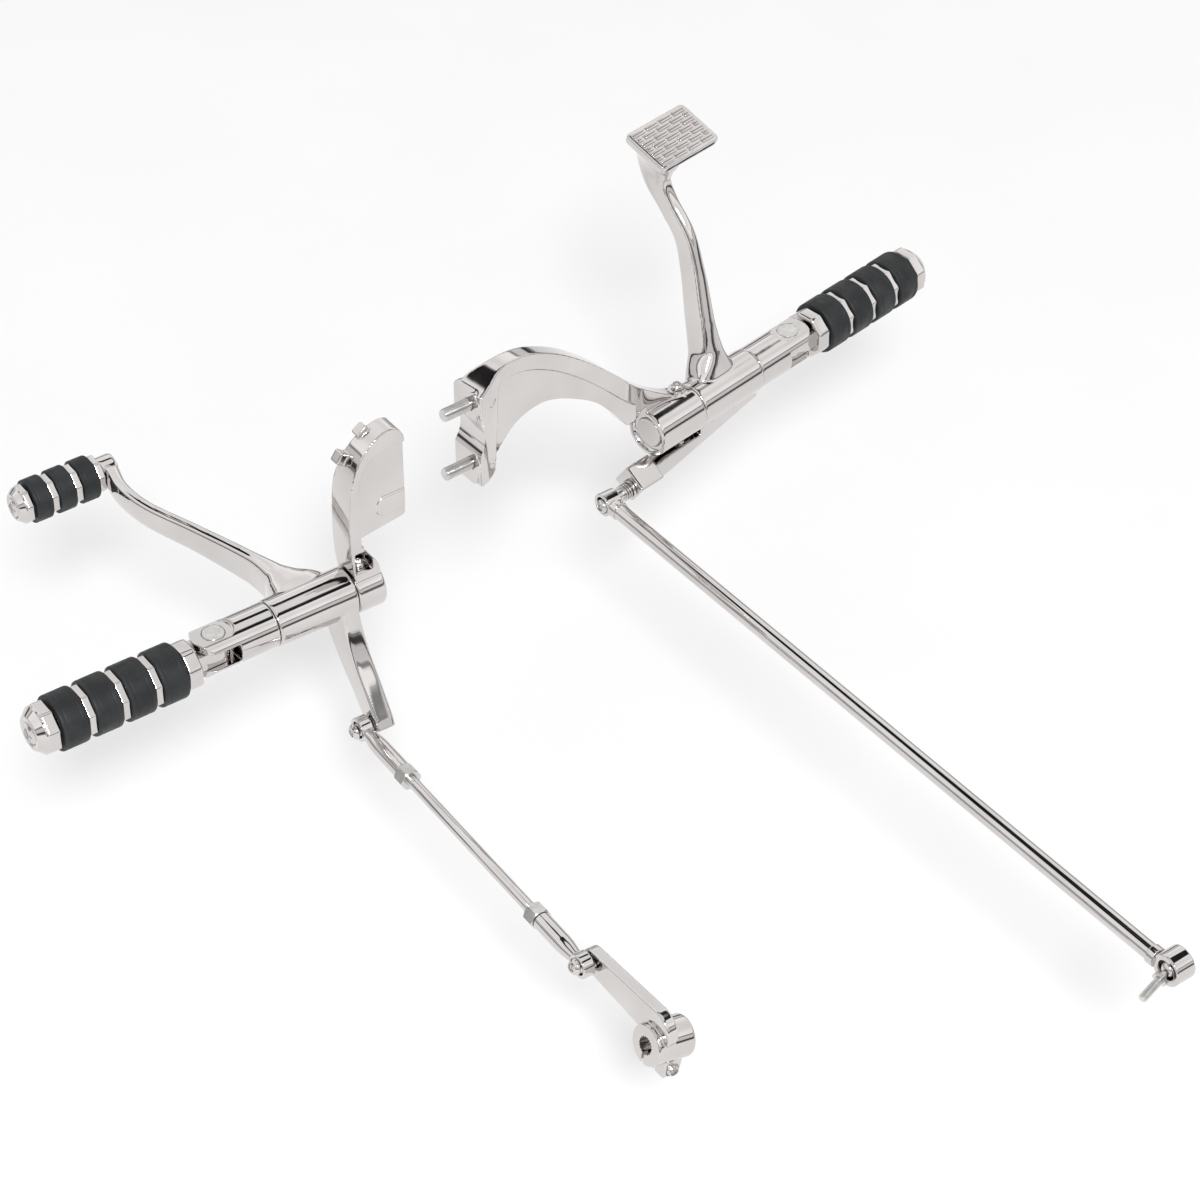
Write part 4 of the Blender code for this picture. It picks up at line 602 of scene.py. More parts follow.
def right_bracket():
    crest = [(-0.1600, 0.1320), (-0.1450, 0.1370), (-0.1300, 0.1365), (-0.1150, 0.1325),
             (-0.0980, 0.1240), (-0.0800, 0.1120), (-0.0600, 0.0955), (-0.0400, 0.0765),
             (-0.0230, 0.0590), (-0.0060, 0.0430), (0.0100, 0.0300), (0.0260, 0.0200), (0.0410, 0.0140)]
    outer = flat([(END_X, 0.1270)] + crest)
    belly = [(0.0, 0.0080), (-0.0120, 0.0105), (-0.0260, 0.0250), (-0.0380, 0.0410), (-0.0550, 0.0590),
             (-0.0720, 0.0710), (-0.0920, 0.0820), (-0.1050, 0.0860), (-0.1190, 0.0860), (-0.1320, 0.0820),
             (-0.1430, 0.0730), (-0.1510, 0.0640), (-0.1590, 0.0570)]
    outline = outer + [(0.0410, 0.0), (0.0100, 0.0)] + flat(belly + [(END_X, 0.0540)])
    body = moved(prism(outline, RIM, 0.0034, 4), BRAKE, UPRIGHT)
    ridge = through(crest, 8)
    keep = []
    for i, p in enumerate(ridge):
        ahead = (ridge[min(i + 1, len(ridge) - 1)] - ridge[max(i - 1, 0)]).normalized()
        spot = (p.x + ahead.y * 0.0120, p.y - ahead.x * 0.0120)
        if -0.1500 < spot[0] < -0.0150:
            keep.append(spot)
    pocket = keep + [(-0.0150, 0.0100)] + arc(-0.1080, 0.0060, 0.0560, radians(25), radians(150), 24)
    half = 0.0060
    waist = flat([(END_X - 0.0100, RIM / 2 + 0.0020), (END_X + 0.0100, RIM / 2 - 0.0008),
                  (-0.1450, half + 0.0008), (-0.1250, half), (-0.0950, half + 0.0004),
                  (-0.0700, half + 0.0022), (-0.0500, RIM / 2 - 0.0020), (-0.0350, RIM / 2 - 0.0004),
                  (-0.0250, RIM / 2 + 0.0020)])
    cuts = []
    for way in (1, -1):
        cuts.append(moved(prism(pocket, RIM), BRAKE, shift(0, way * (0.0085 + RIM) / 2, 0), UPRIGHT))
        side = [(x, way * y) for x, y in waist] + [(-0.0250, way * RIM), (END_X - 0.0100, way * RIM)]
        cuts.append(moved(prism(side, 0.4), BRAKE))
    root = flat([(-0.0380, -RIM * 0.56), (-0.0270, -0.0092), (-0.0150, -0.0042), (-0.0040, 0.0002),
                 (0.0100, 0.0012), (0.0300, -0.0030), (0.0450, -RIM * 0.56)])
    cuts.append(moved(prism(root + [(0.0450, -2 * RIM), (-0.0380, -2 * RIM)], 0.4), BRAKE))
    cuts.append(moved(bar(0.0222, 2 * GAP - 0.04, 2 * GAP, 0, 96), BRAKE))
    body = carved(body, cuts)
    boss = lathe(soften([(RIGHT_BOSS, 0), (RIGHT_BOSS, BOSS_R), (0, BOSS_R), (0, 0)], 0.0010), 96)
    lock = shift(*RIGHT_LOCK, 0)
    shells = [body, moved(boss, BRAKE),
              moved(bar(*LOCK_BOSS, 0.0005, 48), BRAKE, lock, UP_Z)]
    lug_line = [(0.0240, 0), (0.0210, 0.0070), (0.0160, 0.0100), (0, 0.0100), (0, 0)]
    for z in STUD_HEIGHTS:
        lug = lathe(soften(lug_line, 0.004), 48)
        shells.append(moved(lug, FRAME_END, shift(-0.0040, 0, z)))
    foot = block((0.0120, 0.0230, 0.0750), 0.0035)
    shells.append(moved(foot, FRAME_END, shift(0.0030, 0.0045, 0.0915)))
    saddle = 0.0230
    holes = [moved(block((0.04, 4 * RIM, 0.2)), FRAME_END, shift(-0.02, 0, 0.09)),
             moved(bar(saddle, 0, 3 * RIM, 0, 96), FRAME_END, shift(0.0048 - saddle, -1.5 * RIM, 0.09325),
                   ALONG_Y),
             moved(bar(SHAFT_R + GAP, -0.0215, 0.0645, 0, 96), BRAKE),
             moved(bar(0.0145, -0.0030, 0.0030, 0, 96), BRAKE),
             moved(bar(*LOCK_BORE, 0, 32), BRAKE, lock, UP_Z)]
    for z in STUD_HEIGHTS:
        holes.append(moved(bar(0.0048, -STUD_DEEP, STUD_DEEP, 0, 40), FRAME_END, shift(0, 0, z)))
    obj = cast("right_bracket_look", shells, holes, 0.0006, 8, 0.5)
    dress(obj, "frame_side", "chrome", "right_bracket")


def hub(matrix):
    line = [(HUB_LENGTH, 0), (HUB_LENGTH, HUB_END_R), (0, HUB_R), (0, 0)]
    return moved(lathe(soften(line, 0.0010), 96), matrix)


def shift_lever():
    middle = -LEFT_SEAM - GAP - HUB_LENGTH / 2
    arm = loft([((middle, 0.0040, 0.0000), 0.0278, 0.0158),
                ((middle - 0.0010, 0.0130, 0.0003), 0.0232, 0.0157),
                ((middle - 0.0030, 0.0220, 0.0006), 0.0155, 0.0150),
                ((middle - 0.0050, 0.0330, 0.0010), 0.0092, 0.0140),
                ((middle - 0.0100, 0.0540, 0.0020), 0.0056, 0.0125),
                ((-0.0740, 0.0970, 0.0050), 0.0047, 0.0105),
                ((-0.0905, 0.1390, 0.0080), 0.0046, 0.0095),
                ((-0.0935, 0.1640, 0.0095), 0.0050, 0.0090),
                ((-0.0900, 0.1840, 0.0100), 0.0060, 0.0088)], (0, 0, 1))
    link_mid, half = -0.0265, 0.0075
    link = loft([((link_mid, -0.0040, -0.0060), half, 0.0140),
                 ((link_mid, -0.0100, -0.0220), half, 0.0130),
                 ((link_mid, -0.0210, -0.0400), half, 0.0110),
                 ((link_mid, -0.0350, -0.0580), half, 0.0095),
                 ((link_mid, ROD_PIVOT[1], ROD_PIVOT[2]), half, 0.0085),
                 ((link_mid, ROD_PIVOT[1] - 0.0040, ROD_PIVOT[2] - 0.0050), half - 0.0005, 0.0075)],
                (0, 1, 0), 40, 6.0)
    toe_x, toe_y, toe_z = TOE_PLACE
    tip = bar(0.0105, toe_x, -0.0840, 0.0014)
    shells = [hub(at(SHIFT, (-LEFT_SEAM - GAP, 0, 0), (0, 0, pi))), moved(arm, SHIFT), moved(link, SHIFT),
              moved(tip, SHIFT, shift(0, toe_y, toe_z))]
    holes = [moved(bar(HUB_BORE_R, *HUB_DRILL, 0, 96), LEFT_HUB),
             moved(bar(TOE_BORE_R, toe_x - 0.0100, toe_x + 0.0100, 0, 32), SHIFT, shift(0, toe_y, toe_z)),
             moved(bar(0.0030, -0.06, 0, 0, 32), SHIFT, shift(0, ROD_PIVOT[1], ROD_PIVOT[2]))]
    obj = cast("shift_lever_look", shells, holes, 0.0006, 8, 0.5)
    dress(obj, "shift_lever", "chrome", "shift_lever")


def brake_pedal():
    middle = RIGHT_BOSS + GAP + HUB_LENGTH / 2
    px, py, pz = PAD_PLACE
    lean = px - middle
    arm = loft([((middle - 0.0040, 0.0020, 0.0020), 0.0235, 0.0120),
                ((middle - 0.0030, 0.0070, 0.0150), 0.0175, 0.0125),
                ((middle - 0.0010, 0.0125, 0.0280), 0.0095, 0.0125),
                ((middle + lean * 0.06, 0.0200, 0.0480), 0.0062, 0.0118),
                ((middle + lean * 0.48, 0.0325, 0.0800), 0.0050, 0.0100),
                ((middle + lean * 0.70, 0.0440, 0.1050), 0.0047, 0.0088),
                ((middle + lean * 0.78, 0.0600, 0.1220), 0.0048, 0.0088),
                ((middle + lean * 0.78, 0.0715, 0.1380), 0.0055, 0.0115),
                ((middle + lean * 0.70, 0.0720, 0.1520), 0.0075, 0.0150),
                ((middle + lean * 0.55, 0.0680, 0.1630), 0.0120, 0.0170),
                ((px - 0.0080, py + 0.0040, pz - 0.0010), 0.0160, 0.0170)], (0, 1, 0))
    wide, deep, thick = 0.0568, 0.0384, 0.0060
    w, d = wide / 2, deep / 2
    tray = prism(soften([(-w, -d), (w, -d), (w, d), (-w, d)], 0.0045, 5, True), thick, 0.0010)
    cx, cy, cz = CRANK_CENTRE
    bx, by, bz = CRANK_BLOCK
    clear_r = BOSS_R + 0.0015
    end = RIGHT_BOSS + GAP + HUB_LENGTH - 0.0020
    outline = [(cx, cz - bz / 2), (cx, -clear_r - 0.0035), (RIGHT_BOSS * 0.25, -clear_r - 0.0010),
               (RIGHT_BOSS, -clear_r), (RIGHT_BOSS + GAP, -clear_r), (RIGHT_BOSS + GAP, -HUB_R * 0.55),
               (end, -HUB_R * 0.55), (end, -HUB_END_R + 0.0010)]
    shells = [hub(at(BRAKE, (RIGHT_BOSS + GAP, 0, 0))), moved(arm, BRAKE), moved(tray, PAD),
              moved(prism(outline, 0.0120, 0.0012), BRAKE, shift(0, cy, 0), UPRIGHT),
              moved(block((bx, by, bz), 0.0012), BRAKE, shift(cx, cy, cz),
                    Matrix.Rotation(radians(35), 4, "X"))]
    stop_top = -BOSS_R - 2 * GAP
    holes = [moved(bar(HUB_BORE_R, *HUB_DRILL, 0, 96), RIGHT_HUB),
             moved(bar(0.0033, cx - bx, cx + bx, 0, 32), BRAKE, shift(0, NEAR_EYE[1], NEAR_EYE[2])),
             moved(bar(0.0029, stop_top - 0.0073, stop_top + 0.0067, 0, 32), BRAKE,
                   shift(0.0280, -0.0060, 0), UP_Z)]
    obj = cast("brake_pedal_look", shells, holes, 0.0006, 7, 0.5)
    dress(obj, "brake_pedal", "chrome", "brake_pedal")
    rows, border = 7, 0.0022
    step = (deep - 2 * border) / rows
    length = (wide - 2 * border) / 4
    bricks = []
    for i in range(rows):
        y = -d + border + (i + 0.5) * step
        cursor = -w + border - (length / 2 if i % 2 else 0)
        while cursor < w - border - 0.0010:
            a = max(cursor, -w + border) + 0.0008
            b = min(cursor + length, w - border) - 0.0008
            for way in (1, -1):
                rib = block((b - a, step * 0.36, 0.0026), 0.0007, 3)
                bricks.append(moved(rib, PAD, shift((a + b) / 2, y + way * step * 0.21, thick / 2 - 0.0002)))
            cursor += length
    tread = plain("brake_pad_tread", *bricks)
    dress(tread, "brake_pedal", "chrome")


def shifter_arm():
    clamp_y, clamp_z = CLAMP_AT
    thick, small = 0.0080, 0.0095
    near = BALL_W / 2 + 2 * GAP + 0.0006
    body = lathe(soften([(CLAMP, 0), (CLAMP, CLAMP_R), (0, CLAMP_R), (0, 0)], 0.0016), 96)
    length = hypot(clamp_y, clamp_z)
    fall = atan2(-clamp_z, -clamp_y)
    big = CLAMP_R - 0.0004
    lean = atan2(big - small, length)
    outline = arc(0, 0, small, -pi / 2 - lean, -3 * pi / 2 + lean, 24)
    outline += arc(length, 0, big, pi / 2 + lean, -pi / 2 - lean, 28)
    blade = moved(prism(outline, thick, 0.0012),
                  at(ARM, (near + thick / 2, 0, 0), (pi / 2 + fall, 0, -pi / 2)))
    long, wide, tall = PINCH_LUG
    lug_z = clamp_z - CLAMP_R * 0.5 - tall / 2 + CLAMP_R * 0.25
    lug = block((long, wide, tall - CLAMP_R * 0.5), 0.0010)
    shells = [moved(body, ARM, shift(CLAMP_FACE, clamp_y, clamp_z)), blade,
              moved(lug, ARM, shift(PINCH_X, clamp_y, lug_z))]
    teeth = []
    for i in range(36):
        r = 0.00645 - (0.0008 if i % 2 else 0)
        teeth.append((r * cos(pi * i / 18), r * sin(pi * i / 18)))
    middle = CLAMP_FACE + CLAMP / 2
    seat = clamp_y - wide / 2 + PINCH_DEEP
    cuts = [moved(prism(teeth, 2 * CLAMP), ARM, shift(middle, clamp_y, clamp_z), FACING_X),
            moved(block((3 * CLAMP, 0.0024, 0.0345)), ARM, shift(middle, clamp_y, clamp_z - 0.0345 / 2)),
            moved(bar(0.0030, near - thick, near + 3 * thick, 0, 32), ARM),
            moved(bar(0.0028, -wide, wide, 0, 32), ARM, shift(PINCH_X, clamp_y, PINCH_Z), ALONG_Y),
            moved(bar(0.0047, 0, wide, 0, 40), ARM, shift(PINCH_X, seat, PINCH_Z), DOWN_Y)]
    obj = cast("shifter_arm_look", shells, cuts, 0.0004, 5, 0.4)
    dress(obj, "shifter_arm", "chrome", "shifter_arm")


def peg_mount(side, hub_frame, back):
    end = PIN_AT + CLEVIS_R
    line = [(end, 0), (end, CLEVIS_R), (SHOULDER, CLEVIS_R), (SHOULDER, SHAFT_R), (-back, SHAFT_R), (-back, 0)]
    body = lathe(soften(line, 0.0009), 96)
    reach, start = 3 * CLEVIS_R, PIN_AT - 0.0140
    mill_r = 0.0100
    mill = arc(start + mill_r, 0, mill_r, pi / 2, 3 * pi / 2, 24)
    mill += [(start + reach, -mill_r), (start + reach, mill_r)]
    rim = arc(0, 0, CLEVIS_R - 0.0001, pi / 2, -pi / 2, 40)
    far = 2 * CLEVIS_R
    pin = shift(PIN_AT, 0, 0)
    cuts = []
    for way in (1, -1):
        cuts.append(moved(prism(mill, CLEVIS_R), hub_frame, shift(0, 0, way * (EAR_TOP + CLEVIS_R / 2))))
    outside = rim + [(0, -far), (far, -far), (far, far), (0, far)]
    cuts += [moved(block((reach, reach, SLOT)), hub_frame, shift(PIN_AT - 0.0120 + reach / 2, 0, 0)),
             moved(prism(outside, reach), hub_frame, pin)]
    shell = carved(moved(body, hub_frame), cuts)
    holes = [moved(bar(PIN_R + GAP, -0.02, 0.02, 0, 48), hub_frame, pin, UP_Z),
             moved(bar(PIN_HEAD_R + GAP, EAR_TOP - PIN_HEAD, EAR_TOP + 0.01, 0, 48),
                   hub_frame, pin, UP_Z)]
    obj = cast(side + "_peg_mount_look", [shell], holes, 0.0004, 3, 0.4)
    dress(obj, "frame_side", "chrome", side + "_peg_mount")


def fold_pin(side, fold):
    head = EAR_TOP - PIN_HEAD + GAP
    low = -EAR_TOP - 0.0010 - 2 * GAP
    line = [(head + PIN_HEAD, 0), (head + PIN_HEAD, PIN_HEAD_R), (head, PIN_HEAD_R), (head, PIN_R),
            (-EAR_TOP, PIN_R), (-EAR_TOP, PIN_R - 0.0010), (low, PIN_R - 0.0010), (low, PIN_R),
            (low - 0.0016, PIN_R), (low - 0.0016, 0)]
    pin = moved(lathe(soften(line, 0.0006, 3), 48), fold, UP_Z)
    dress(plain(side + "_peg_pin_look", pin), "frame_side", "zinc", side + "_peg_pin")


def tyre(name, matrix, width, radius, bore, body, node):
    """Moulded ring with round shoulders and two fine mould lines."""
    line = [(width, bore), (width, radius)]
    for share in (0.80, 0.24):
        x = width * share
        line += [(x + 0.0005, radius), (x, radius - 0.00035), (x - 0.0005, radius)]
    line += [(0, radius), (0, bore)]
    rounded = soften(line, 0.0024, 5, True)
    dress(plain(name, moved(lathe(rounded, 80), matrix)), body, "rubber", node)


def cap(name, matrix, length, across, dome, dome_r, screw_r, shank_r, body, node):
    top = length + dome
    wide = across / 2 * 0.98
    line = [(top, 0), (top, dome_r), (length + dome * 0.12, wide), (length * 0.4, wide), (length * 0.4, 0)]
    smooth = soften(line, 0.0014, 5)
    seat = top - dome * 0.45
    cuts = [moved(bar(screw_r + 2 * GAP, seat, top * 2, 0, 64), matrix),
            moved(bar(shank_r + GAP, -top, top * 2, 0, 48), matrix)]
    base = moved(eight(across, 0, length, 0.0012), matrix)
    obj = machined(name, moved(lathe(smooth, 80), matrix), cuts, [base])
    dress(obj, body, "chrome", node)
    return seat


def foot_peg(side, fold, peg):
    body = side + "_peg"
    edge = PEG_NECK + FLANGE / 2
    first = PEG_NECK + FLANGE + GAP
    ring, rib = 0.0187, 0.0053
    stop = first + 3 * PEG_PITCH + PEG_RING
    outline = [(edge, -TONGUE_R), (edge, TONGUE_R)] + arc(0, 0, TONGUE_R, pi / 2, 3 * pi / 2, 32)
    tongue = prism(outline, TONGUE, 0.0006)
    parts = [moved(bar(0.0120, edge, stop, 0.0004), peg),
             moved(eight(0.0330, PEG_NECK, 0.0287, 0.0024), peg)]
    for i in range(3):
        start = first + (i + 1) * PEG_PITCH - rib - PAIR
        parts.append(moved(eight(0.0338, start, start + rib, 0.0008), peg))
    hole = moved(bar(PIN_R + GAP, -TONGUE, TONGUE, 0, 48), fold, UP_Z)
    obj = machined(side + "_peg_core_look", moved(tongue, fold), [hole], parts)
    dress(obj, body, "chrome", side + "_peg_core")
    for i in range(4):
        node = side + "_ring_" + str(i + 1)
        tyre(node + "_look", at(peg, (first + i * PEG_PITCH, 0, 0)), ring, 0.0194, 0.0123, body, node)
    start = stop + GAP
    screw_r, shank_r, shank = 0.0083, 0.0040, 0.0180
    seat = cap(side + "_peg_cap_look", at(peg, (start, 0, 0)), 0.0085, 0.0340, 0.0060, 0.0120,
               screw_r, shank_r, body, side + "_peg_cap")
    head = start + seat + GAP
    screw(side + "_cap_screw_look", at(peg, (head, 0, 0)), screw_r, 0.0037, shank_r,
          head - stop + shank - 3 * GAP, body, "chrome", 0.62)


def toe_peg():
    ring, rib = 0.0123, 0.0053
    first = GAP + TOE_FLANGE + GAP
    stop = first + 2 * TOE_PITCH + TOE_RING
    parts = [moved(eight(0.0260, GAP, GAP + TOE_FLANGE, 0.0011), TOE)]
    for i in range(2):
        start = first + (i + 1) * TOE_PITCH - rib - PAIR
        parts.append(moved(eight(0.0266, start, start + rib, 0.0008), TOE))
    hole = moved(bar(TOE_BORE_R, -0.01, stop + 0.01, 0, 48), TOE)
    obj = machined("toe_core_look", moved(bar(0.0090, 0.0028, stop, 0.0003), TOE), [hole], parts)
    dress(obj, "shift_lever", "chrome", "toe_core")
    for i in range(3):
        node = "toe_ring_" + str(i + 1)
        tyre(node + "_look", at(TOE, (first + i * TOE_PITCH, 0, 0)), ring, 0.0155, 0.0093,
             "shift_lever", node)
    start = stop + GAP
    screw_r, shank_r, shank = 0.0072, 0.0040, 0.0100
    seat = cap("toe_cap_look", at(TOE, (start, 0, 0)), 0.0050, 0.0265, 0.0048, 0.0095, screw_r, shank_r,
               "shift_lever", "toe_cap")
    head = start + seat + GAP
    screw("toe_bolt_look", at(TOE, (head, 0, 0)), screw_r, 0.0030, shank_r, head + shank - 3 * GAP,
          "shift_lever", "chrome", 0.62)


# Rods, joints and fasteners

def rod_end(side, matrix, shank, way):
    """Eye with its threaded shank; way is -1 where the shank runs along -Y."""
    eye, shank_r = 0.0084, 0.00635
    ring = [(eye / 2, BALL_R + GAP), (eye / 2, EYE_R), (-eye / 2, EYE_R), (-eye / 2, BALL_R + GAP)]
    turn = DOWN_Y if way < 0 else ALONG_Y
    inner = EYE_R * 0.86
    neck = [(inner, 0), (inner, shank_r * 0.72)]
    neck += flat([(inner, shank_r * 0.72), (shank * 0.24, shank_r * 0.80), (shank * 0.36, shank_r * 0.93),
                  (shank * 0.48, shank_r)], 5)[1:]
    neck += [(shank, shank_r), (shank, 0)]
    shells = [moved(lathe(soften(ring, 0.0010, 4, True), 72), matrix),
              moved(lathe(soften(neck, 0.0007, 3), 56), matrix, turn)]
    dress(plain(side + "_rod_end_look", *shells), "shift_rod", "chrome", side + "_rod_end")


def ball(name, matrix, bore_r, body):
    side, face = BALL_W / 2, bore_r + 0.0012
    top = atan2(BALL_W * 0.44, face)
    swell = []
    for i in range(17):
        turn = top - 2 * top * i / 16
        swell.append((BALL_R * sin(turn), BALL_R * cos(turn)))
    line = [(side, bore_r), (side, face)] + swell + [(-side, face), (-side, bore_r)]
    dress(plain(name + "_look", moved(lathe(line, 56), matrix)), body, "steel", name)


def jam_nut(name, matrix):
    corner, bore = 0.0080, 0.0043
    nut = gather(name + "_look", [moved(hexagon(corner * 2 * 0.866, 0, NUT), matrix)])
    cone = lathe([(NUT, 0), (NUT, corner * 0.86), (NUT - 0.0011, corner), (0.0011, corner),
                  (0, corner * 0.86), (0, 0)], 72)
    limit = gather(name + "_limit", [moved(cone, matrix)])
    mod = nut.modifiers.new("Chamfer", "BOOLEAN")
    mod.operation = "INTERSECT"
    mod.solver = "MANIFOLD"
    mod.object = limit
    settle(nut)
    bpy.data.objects.remove(limit, do_unlink=True)
    subtract(nut, [moved(bar(bore, -NUT, 2 * NUT, 0, 48), matrix)])
    dress(nut, "shift_rod", "zinc", name)


def shift_rod():
    rod_end("upper", SHIFT_ROD, UPPER_SHANK, -1)
    rod_end("lower", LOWER_EYE, LOWER_SHANK, 1)
    low_end = ROD_SPAN - LOWER_SHANK
    shaft = moved(bar(0.00397, UPPER_SHANK - SHANK_GRIP, low_end + SHANK_GRIP, 0.0004, 56), SHIFT_ROD, DOWN_Y)
    shells = [shaft]
    for start, stop in ((UPPER_SHANK - 0.0010, UPPER_SHANK + 0.0160), (low_end - 0.0160, low_end + 0.0010)):
        shells.append(moved(screw_thread(0.0042, 0.00125, start, stop, 0.0003), SHIFT_ROD, DOWN_Y))
    dress(plain("shift_rod_look", *shells), "shift_rod", "chrome", "shift_rod")
    jam_nut("upper_jam_nut", at(SHIFT_ROD, (0, -(UPPER_SHANK + GAP), 0)) @ DOWN_Y)
    jam_nut("lower_jam_nut", at(SHIFT_ROD, (0, -(low_end - GAP - NUT), 0)) @ DOWN_Y)
    ball("upper_ball", UPPER_EYE, 0.0030, "shift_lever")
    ball("lower_ball", ARM, 0.0030, "shifter_arm")
    reach = -BALL_W / 2 - GAP
    head_r, head, shank_r = 0.0056, 0.0036, 0.0027
    screw("upper_eye_screw_look", at(UPPER_EYE, (reach, 0, 0)) @ ABOUT, head_r, head, shank_r,
          BALL_W + 0.0150, "shift_lever", "chrome")
    screw("lower_eye_screw_look", at(ARM, (reach, 0, 0)) @ ABOUT, head_r, head, shank_r,
          BALL_W + 0.0080, "shifter_arm", "chrome")


def brake_rod():
    near_w, far_r, far_w, socket_r = 0.0122, 0.0112, 0.0150, 0.0068
    start = EYE_R - 0.0010
    stop = BRAKE_SPAN - far_r + 0.0010
    shaft = moved(bar(0.0058, start, stop, 0, 72), BRAKE_ROD, DOWN_Y)
    eye = lathe(soften([(near_w / 2, BALL_R + GAP), (near_w / 2, EYE_R), (-near_w / 2, EYE_R),
                        (-near_w / 2, BALL_R + GAP)], 0.0011, 4, True), 72)
    collar_r, out, into = 0.0068, 0.0050, 0.0012
    collar = lathe(soften([(EYE_R + out, 0), (EYE_R + out, collar_r), (EYE_R - into, collar_r),
                           (EYE_R - into, 0)], 0.0008), 56)
    back, deep = far_w - FAR_FACE, 0.0059
    cup = [(back, 0), (back, far_r), (-FAR_FACE, far_r), (-FAR_FACE, socket_r), (deep, socket_r), (deep, 0)]
    housing = lathe(soften(cup, 0.0012), 72)
    far = BRAKE_SPAN - far_r
    ferrule = lathe(soften([(far + into, 0), (far + into, collar_r), (far - out, collar_r),
                            (far - out, 0)], 0.0008), 56)
    shells = [shaft, moved(eye, BRAKE_ROD), moved(collar, BRAKE_ROD, DOWN_Y), moved(housing, SOCKET),
              moved(ferrule, BRAKE_ROD, DOWN_Y)]
    dress(plain("brake_rod_look", *shells), "brake_rod", "chrome", "brake_rod")


def front_joint():
    bore = 0.0033
    ball("front_ball", FRONT, bore, "brake_pedal")
    seat = CRANK_CENTRE[0] - CRANK_BLOCK[0] / 2 - NEAR_EYE[0] - GAP
    start = BALL_W / 2 + GAP
    line = [(seat, bore), (seat, 0.0068), (seat - 0.0022, 0.0068), (seat - 0.0022, 0.0042)]
    for i in range(3):
        x = seat - 0.0022 - 0.0008 - i * 0.0021
        line += [(x, 0.0042), (x, 0.0060), (x - 0.0013, 0.0060), (x - 0.0013, 0.0042)]
    line += [(start, 0.0040), (start, bore)]
    spacer = lathe(soften(line, 0.0004, 3, True), 56)
    dress(plain("front_spacer_look", moved(spacer, FRONT)), "brake_pedal", "zinc", "front_spacer")
    screw("front_bolt_look", at(FRONT, (-start, 0, 0)) @ ABOUT, 0.0050, 0.0036, 0.0030, start + seat + 0.0140,
          "brake_pedal", "zinc")


def rear_stud():
    r, neck_r, neck = BALL_R, 0.0026, 0.0085
    top = pi / 2 - atan2(neck_r, sqrt(r * r - neck_r * neck_r))
    steps = 24
    sphere = []
    for i in range(steps):
        turn = top - (top + pi / 2) * i / steps
        sphere.append((r * sin(turn), r * cos(turn)))
    collar = neck + 0.0026
    line = [(collar + 0.0008, 0), (collar + 0.0008, 0.0027), (collar - GAP, 0.0027), (collar - GAP, neck_r)]
    body = lathe(line + sphere + [(-r, 0)], 48)
    thread = screw_thread(0.0030, 0.0010, collar - 0.0002, collar + 0.0165, 0.0003, 36)
    flats = hexagon(0.0100, neck, collar, 0.0004)
    shells = [moved(shell, REAR_STUD, ABOUT) for shell in (body, thread, flats)]
    dress(plain("rear_ball_stud_look", *shells), "rear_ball_stud", "zinc", "rear_ball_stud")


def fasteners():
    for side, matrix, (x, y) in (("left", SHIFT, LEFT_LOCK), ("right", BRAKE, RIGHT_LOCK)):
        depth = LOCK_TOP - sqrt((SHAFT_R + GAP) ** 2 - y ** 2) - GAP
        screw(side + "_lock_screw_look", at(matrix, (x, y, LOCK_TOP + GAP)) @ UP_Z, 0.0042, 0.0034, 0.0025,
              depth, "frame_side", "chrome", 0.60, 0.72)
    for label, z in zip(("lower", "upper"), STUD_HEIGHTS):
        base = at(FRAME_END, (STUD_DEEP - GAP, 0, z)) @ ABOUT
        core = moved(bar(0.0040, 0, 0.0170, 0.0004, 40), base)
        thread = moved(screw_thread(0.0045, 0.00125, 0.0150, STUD_DEEP + 0.0210 - GAP, 0.0004, 48), base)
        name = "right_stud_" + label
        dress(plain(name + "_look", core, thread), "frame_side", "zinc", name)
    wide = PINCH_LUG[1]
    seat = CLAMP_AT[0] - wide / 2 + PINCH_DEEP - GAP
    screw("pinch_bolt_look", at(ARM, (PINCH_X, seat, PINCH_Z)) @ DOWN_Y, 0.0044, 0.0042,
          0.0025, wide - PINCH_DEEP - GAP, "shifter_arm", "zinc", 0.62, 0.80)


left_bracket()
right_bracket()
shift_lever()
brake_pedal()
shifter_arm()
peg_mount("left", LEFT_HUB, 0.0170 - 2 * GAP)
peg_mount("right", RIGHT_HUB, RIGHT_BOSS - 0.0015)
fold_pin("left", LEFT_FOLD)
fold_pin("right", RIGHT_FOLD)
foot_peg("left", LEFT_FOLD, LEFT_PEG)
foot_peg("right", RIGHT_FOLD, RIGHT_PEG)
toe_peg()
shift_rod()
brake_rod()
front_joint()
rear_stud()
fasteners()

KEPT = {"left_bush": "bronze", "right_bush": "bronze", "left_pin_clip": "zinc", "right_pin_clip": "zinc",
        "stop_screw": "zinc", "toe_lock_screw": "zinc"}
for name in NODES:
    slots = NODES[name].data.materials
    slots.clear()
    slots.append(FINISH[KEPT.get(name, "chrome")])


# Floor, light and camera

def floor():
    bm = bmesh.new()
    bmesh.ops.create_grid(bm, x_segments=8, y_segments=8, size=6.0)
    obj = gather("floor", [moved(bm, shift(0.1, -0.1, -0.3650))])
    mat = bpy.data.materials.new("pale_floor")
    mat.use_nodes = True
    shader = mat.node_tree.nodes["Principled BSDF"]
    shader.inputs["Roughness"].default_value = 0.9
    shader.inputs["Specular IOR Level"].default_value = 0.1
    tint(mat.node_tree, noise(mat.node_tree, 6, 2), (0.87, 0.87, 0.87), (0.88, 0.88, 0.88),
         shader.inputs["Base Color"])
    obj.data.materials.append(mat)


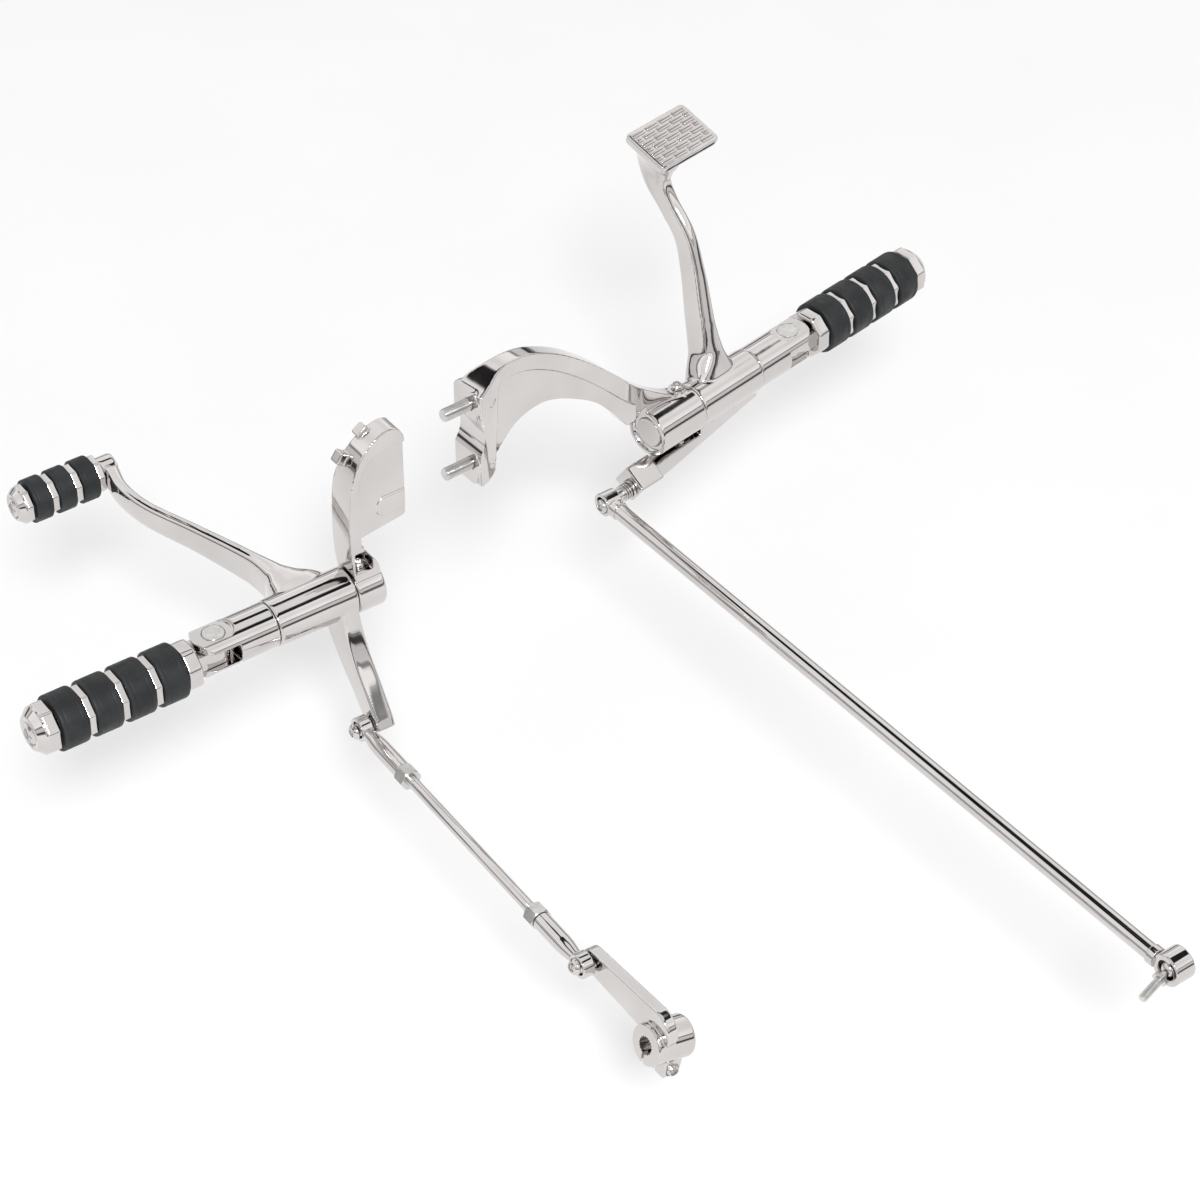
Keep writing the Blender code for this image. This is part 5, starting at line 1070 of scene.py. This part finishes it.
def lamp(name, location, aim, size, power):
    data = bpy.data.lights.new(name, "AREA")
    data.shape = "DISK"
    data.size = size
    data.energy = power
    obj = bpy.data.objects.new(name, data)
    obj.location = location
    obj.rotation_euler = (Vector(aim) - Vector(location)).to_track_quat("-Z", "Y").to_euler()
    bpy.context.scene.collection.objects.link(obj)


SKY = ((0.03, 0.06), (0.10, 0.06), (0.13, 0.78), (0.29, 0.84), (0.32, 0.30), (0.35, 0.30), (0.38, 1.30),
       (0.52, 1.20), (0.64, 1.00), (0.785, 1.20), (0.80, 0.02), (0.885, 0.02), (0.90, 1.05))


def studio():
    scene = bpy.context.scene
    world = bpy.data.worlds.new("studio")
    world.use_nodes = True
    tree = world.node_tree
    coord = tree.nodes.new("ShaderNodeTexCoord")
    split = tree.nodes.new("ShaderNodeSeparateXYZ")
    ramp = tree.nodes.new("ShaderNodeValToRGB")
    tree.links.new(coord.outputs["Generated"], split.inputs["Vector"])
    tree.links.new(split.outputs["Z"], ramp.inputs["Fac"])
    tree.links.new(ramp.outputs["Color"], tree.nodes["Background"].inputs["Color"])
    tree.nodes["Background"].inputs["Strength"].default_value = 1.0
    stops = ramp.color_ramp.elements
    stops[0].position = 0.0
    stops[0].color = (0.30, 0.30, 0.30, 1)
    stops[1].position = 1.0
    stops[1].color = (1.0, 1.0, 1.0, 1)
    for spot, shade in SKY:
        stop = stops.new(spot)
        stop.color = (shade, shade, shade, 1)
    scene.world = world
    scene.view_settings.view_transform = "Standard"
    middle = (0.08, -0.12, -0.06)
    lamp("key", (-2.30, -4.06, 4.38), middle, 1.0, 205)


def camera():
    data = bpy.data.cameras.new("camera")
    data.sensor_width = 36
    data.lens = 3972 / 1200 * 36
    data.clip_end = 20
    cam = bpy.data.objects.new("camera", data)
    look = Vector((0.4415, 0.6259, -0.6428)).normalized()
    right = Vector((0.8171, -0.5764, 0)).normalized()
    up = right.cross(look)
    turn = Matrix((right, up, -look)).transposed().to_4x4()
    cam.matrix_world = Matrix.Translation((-1.0676, -1.7414, 1.5978)) @ turn
    bpy.context.scene.collection.objects.link(cam)
    bpy.context.scene.camera = cam


floor()
studio()
camera()
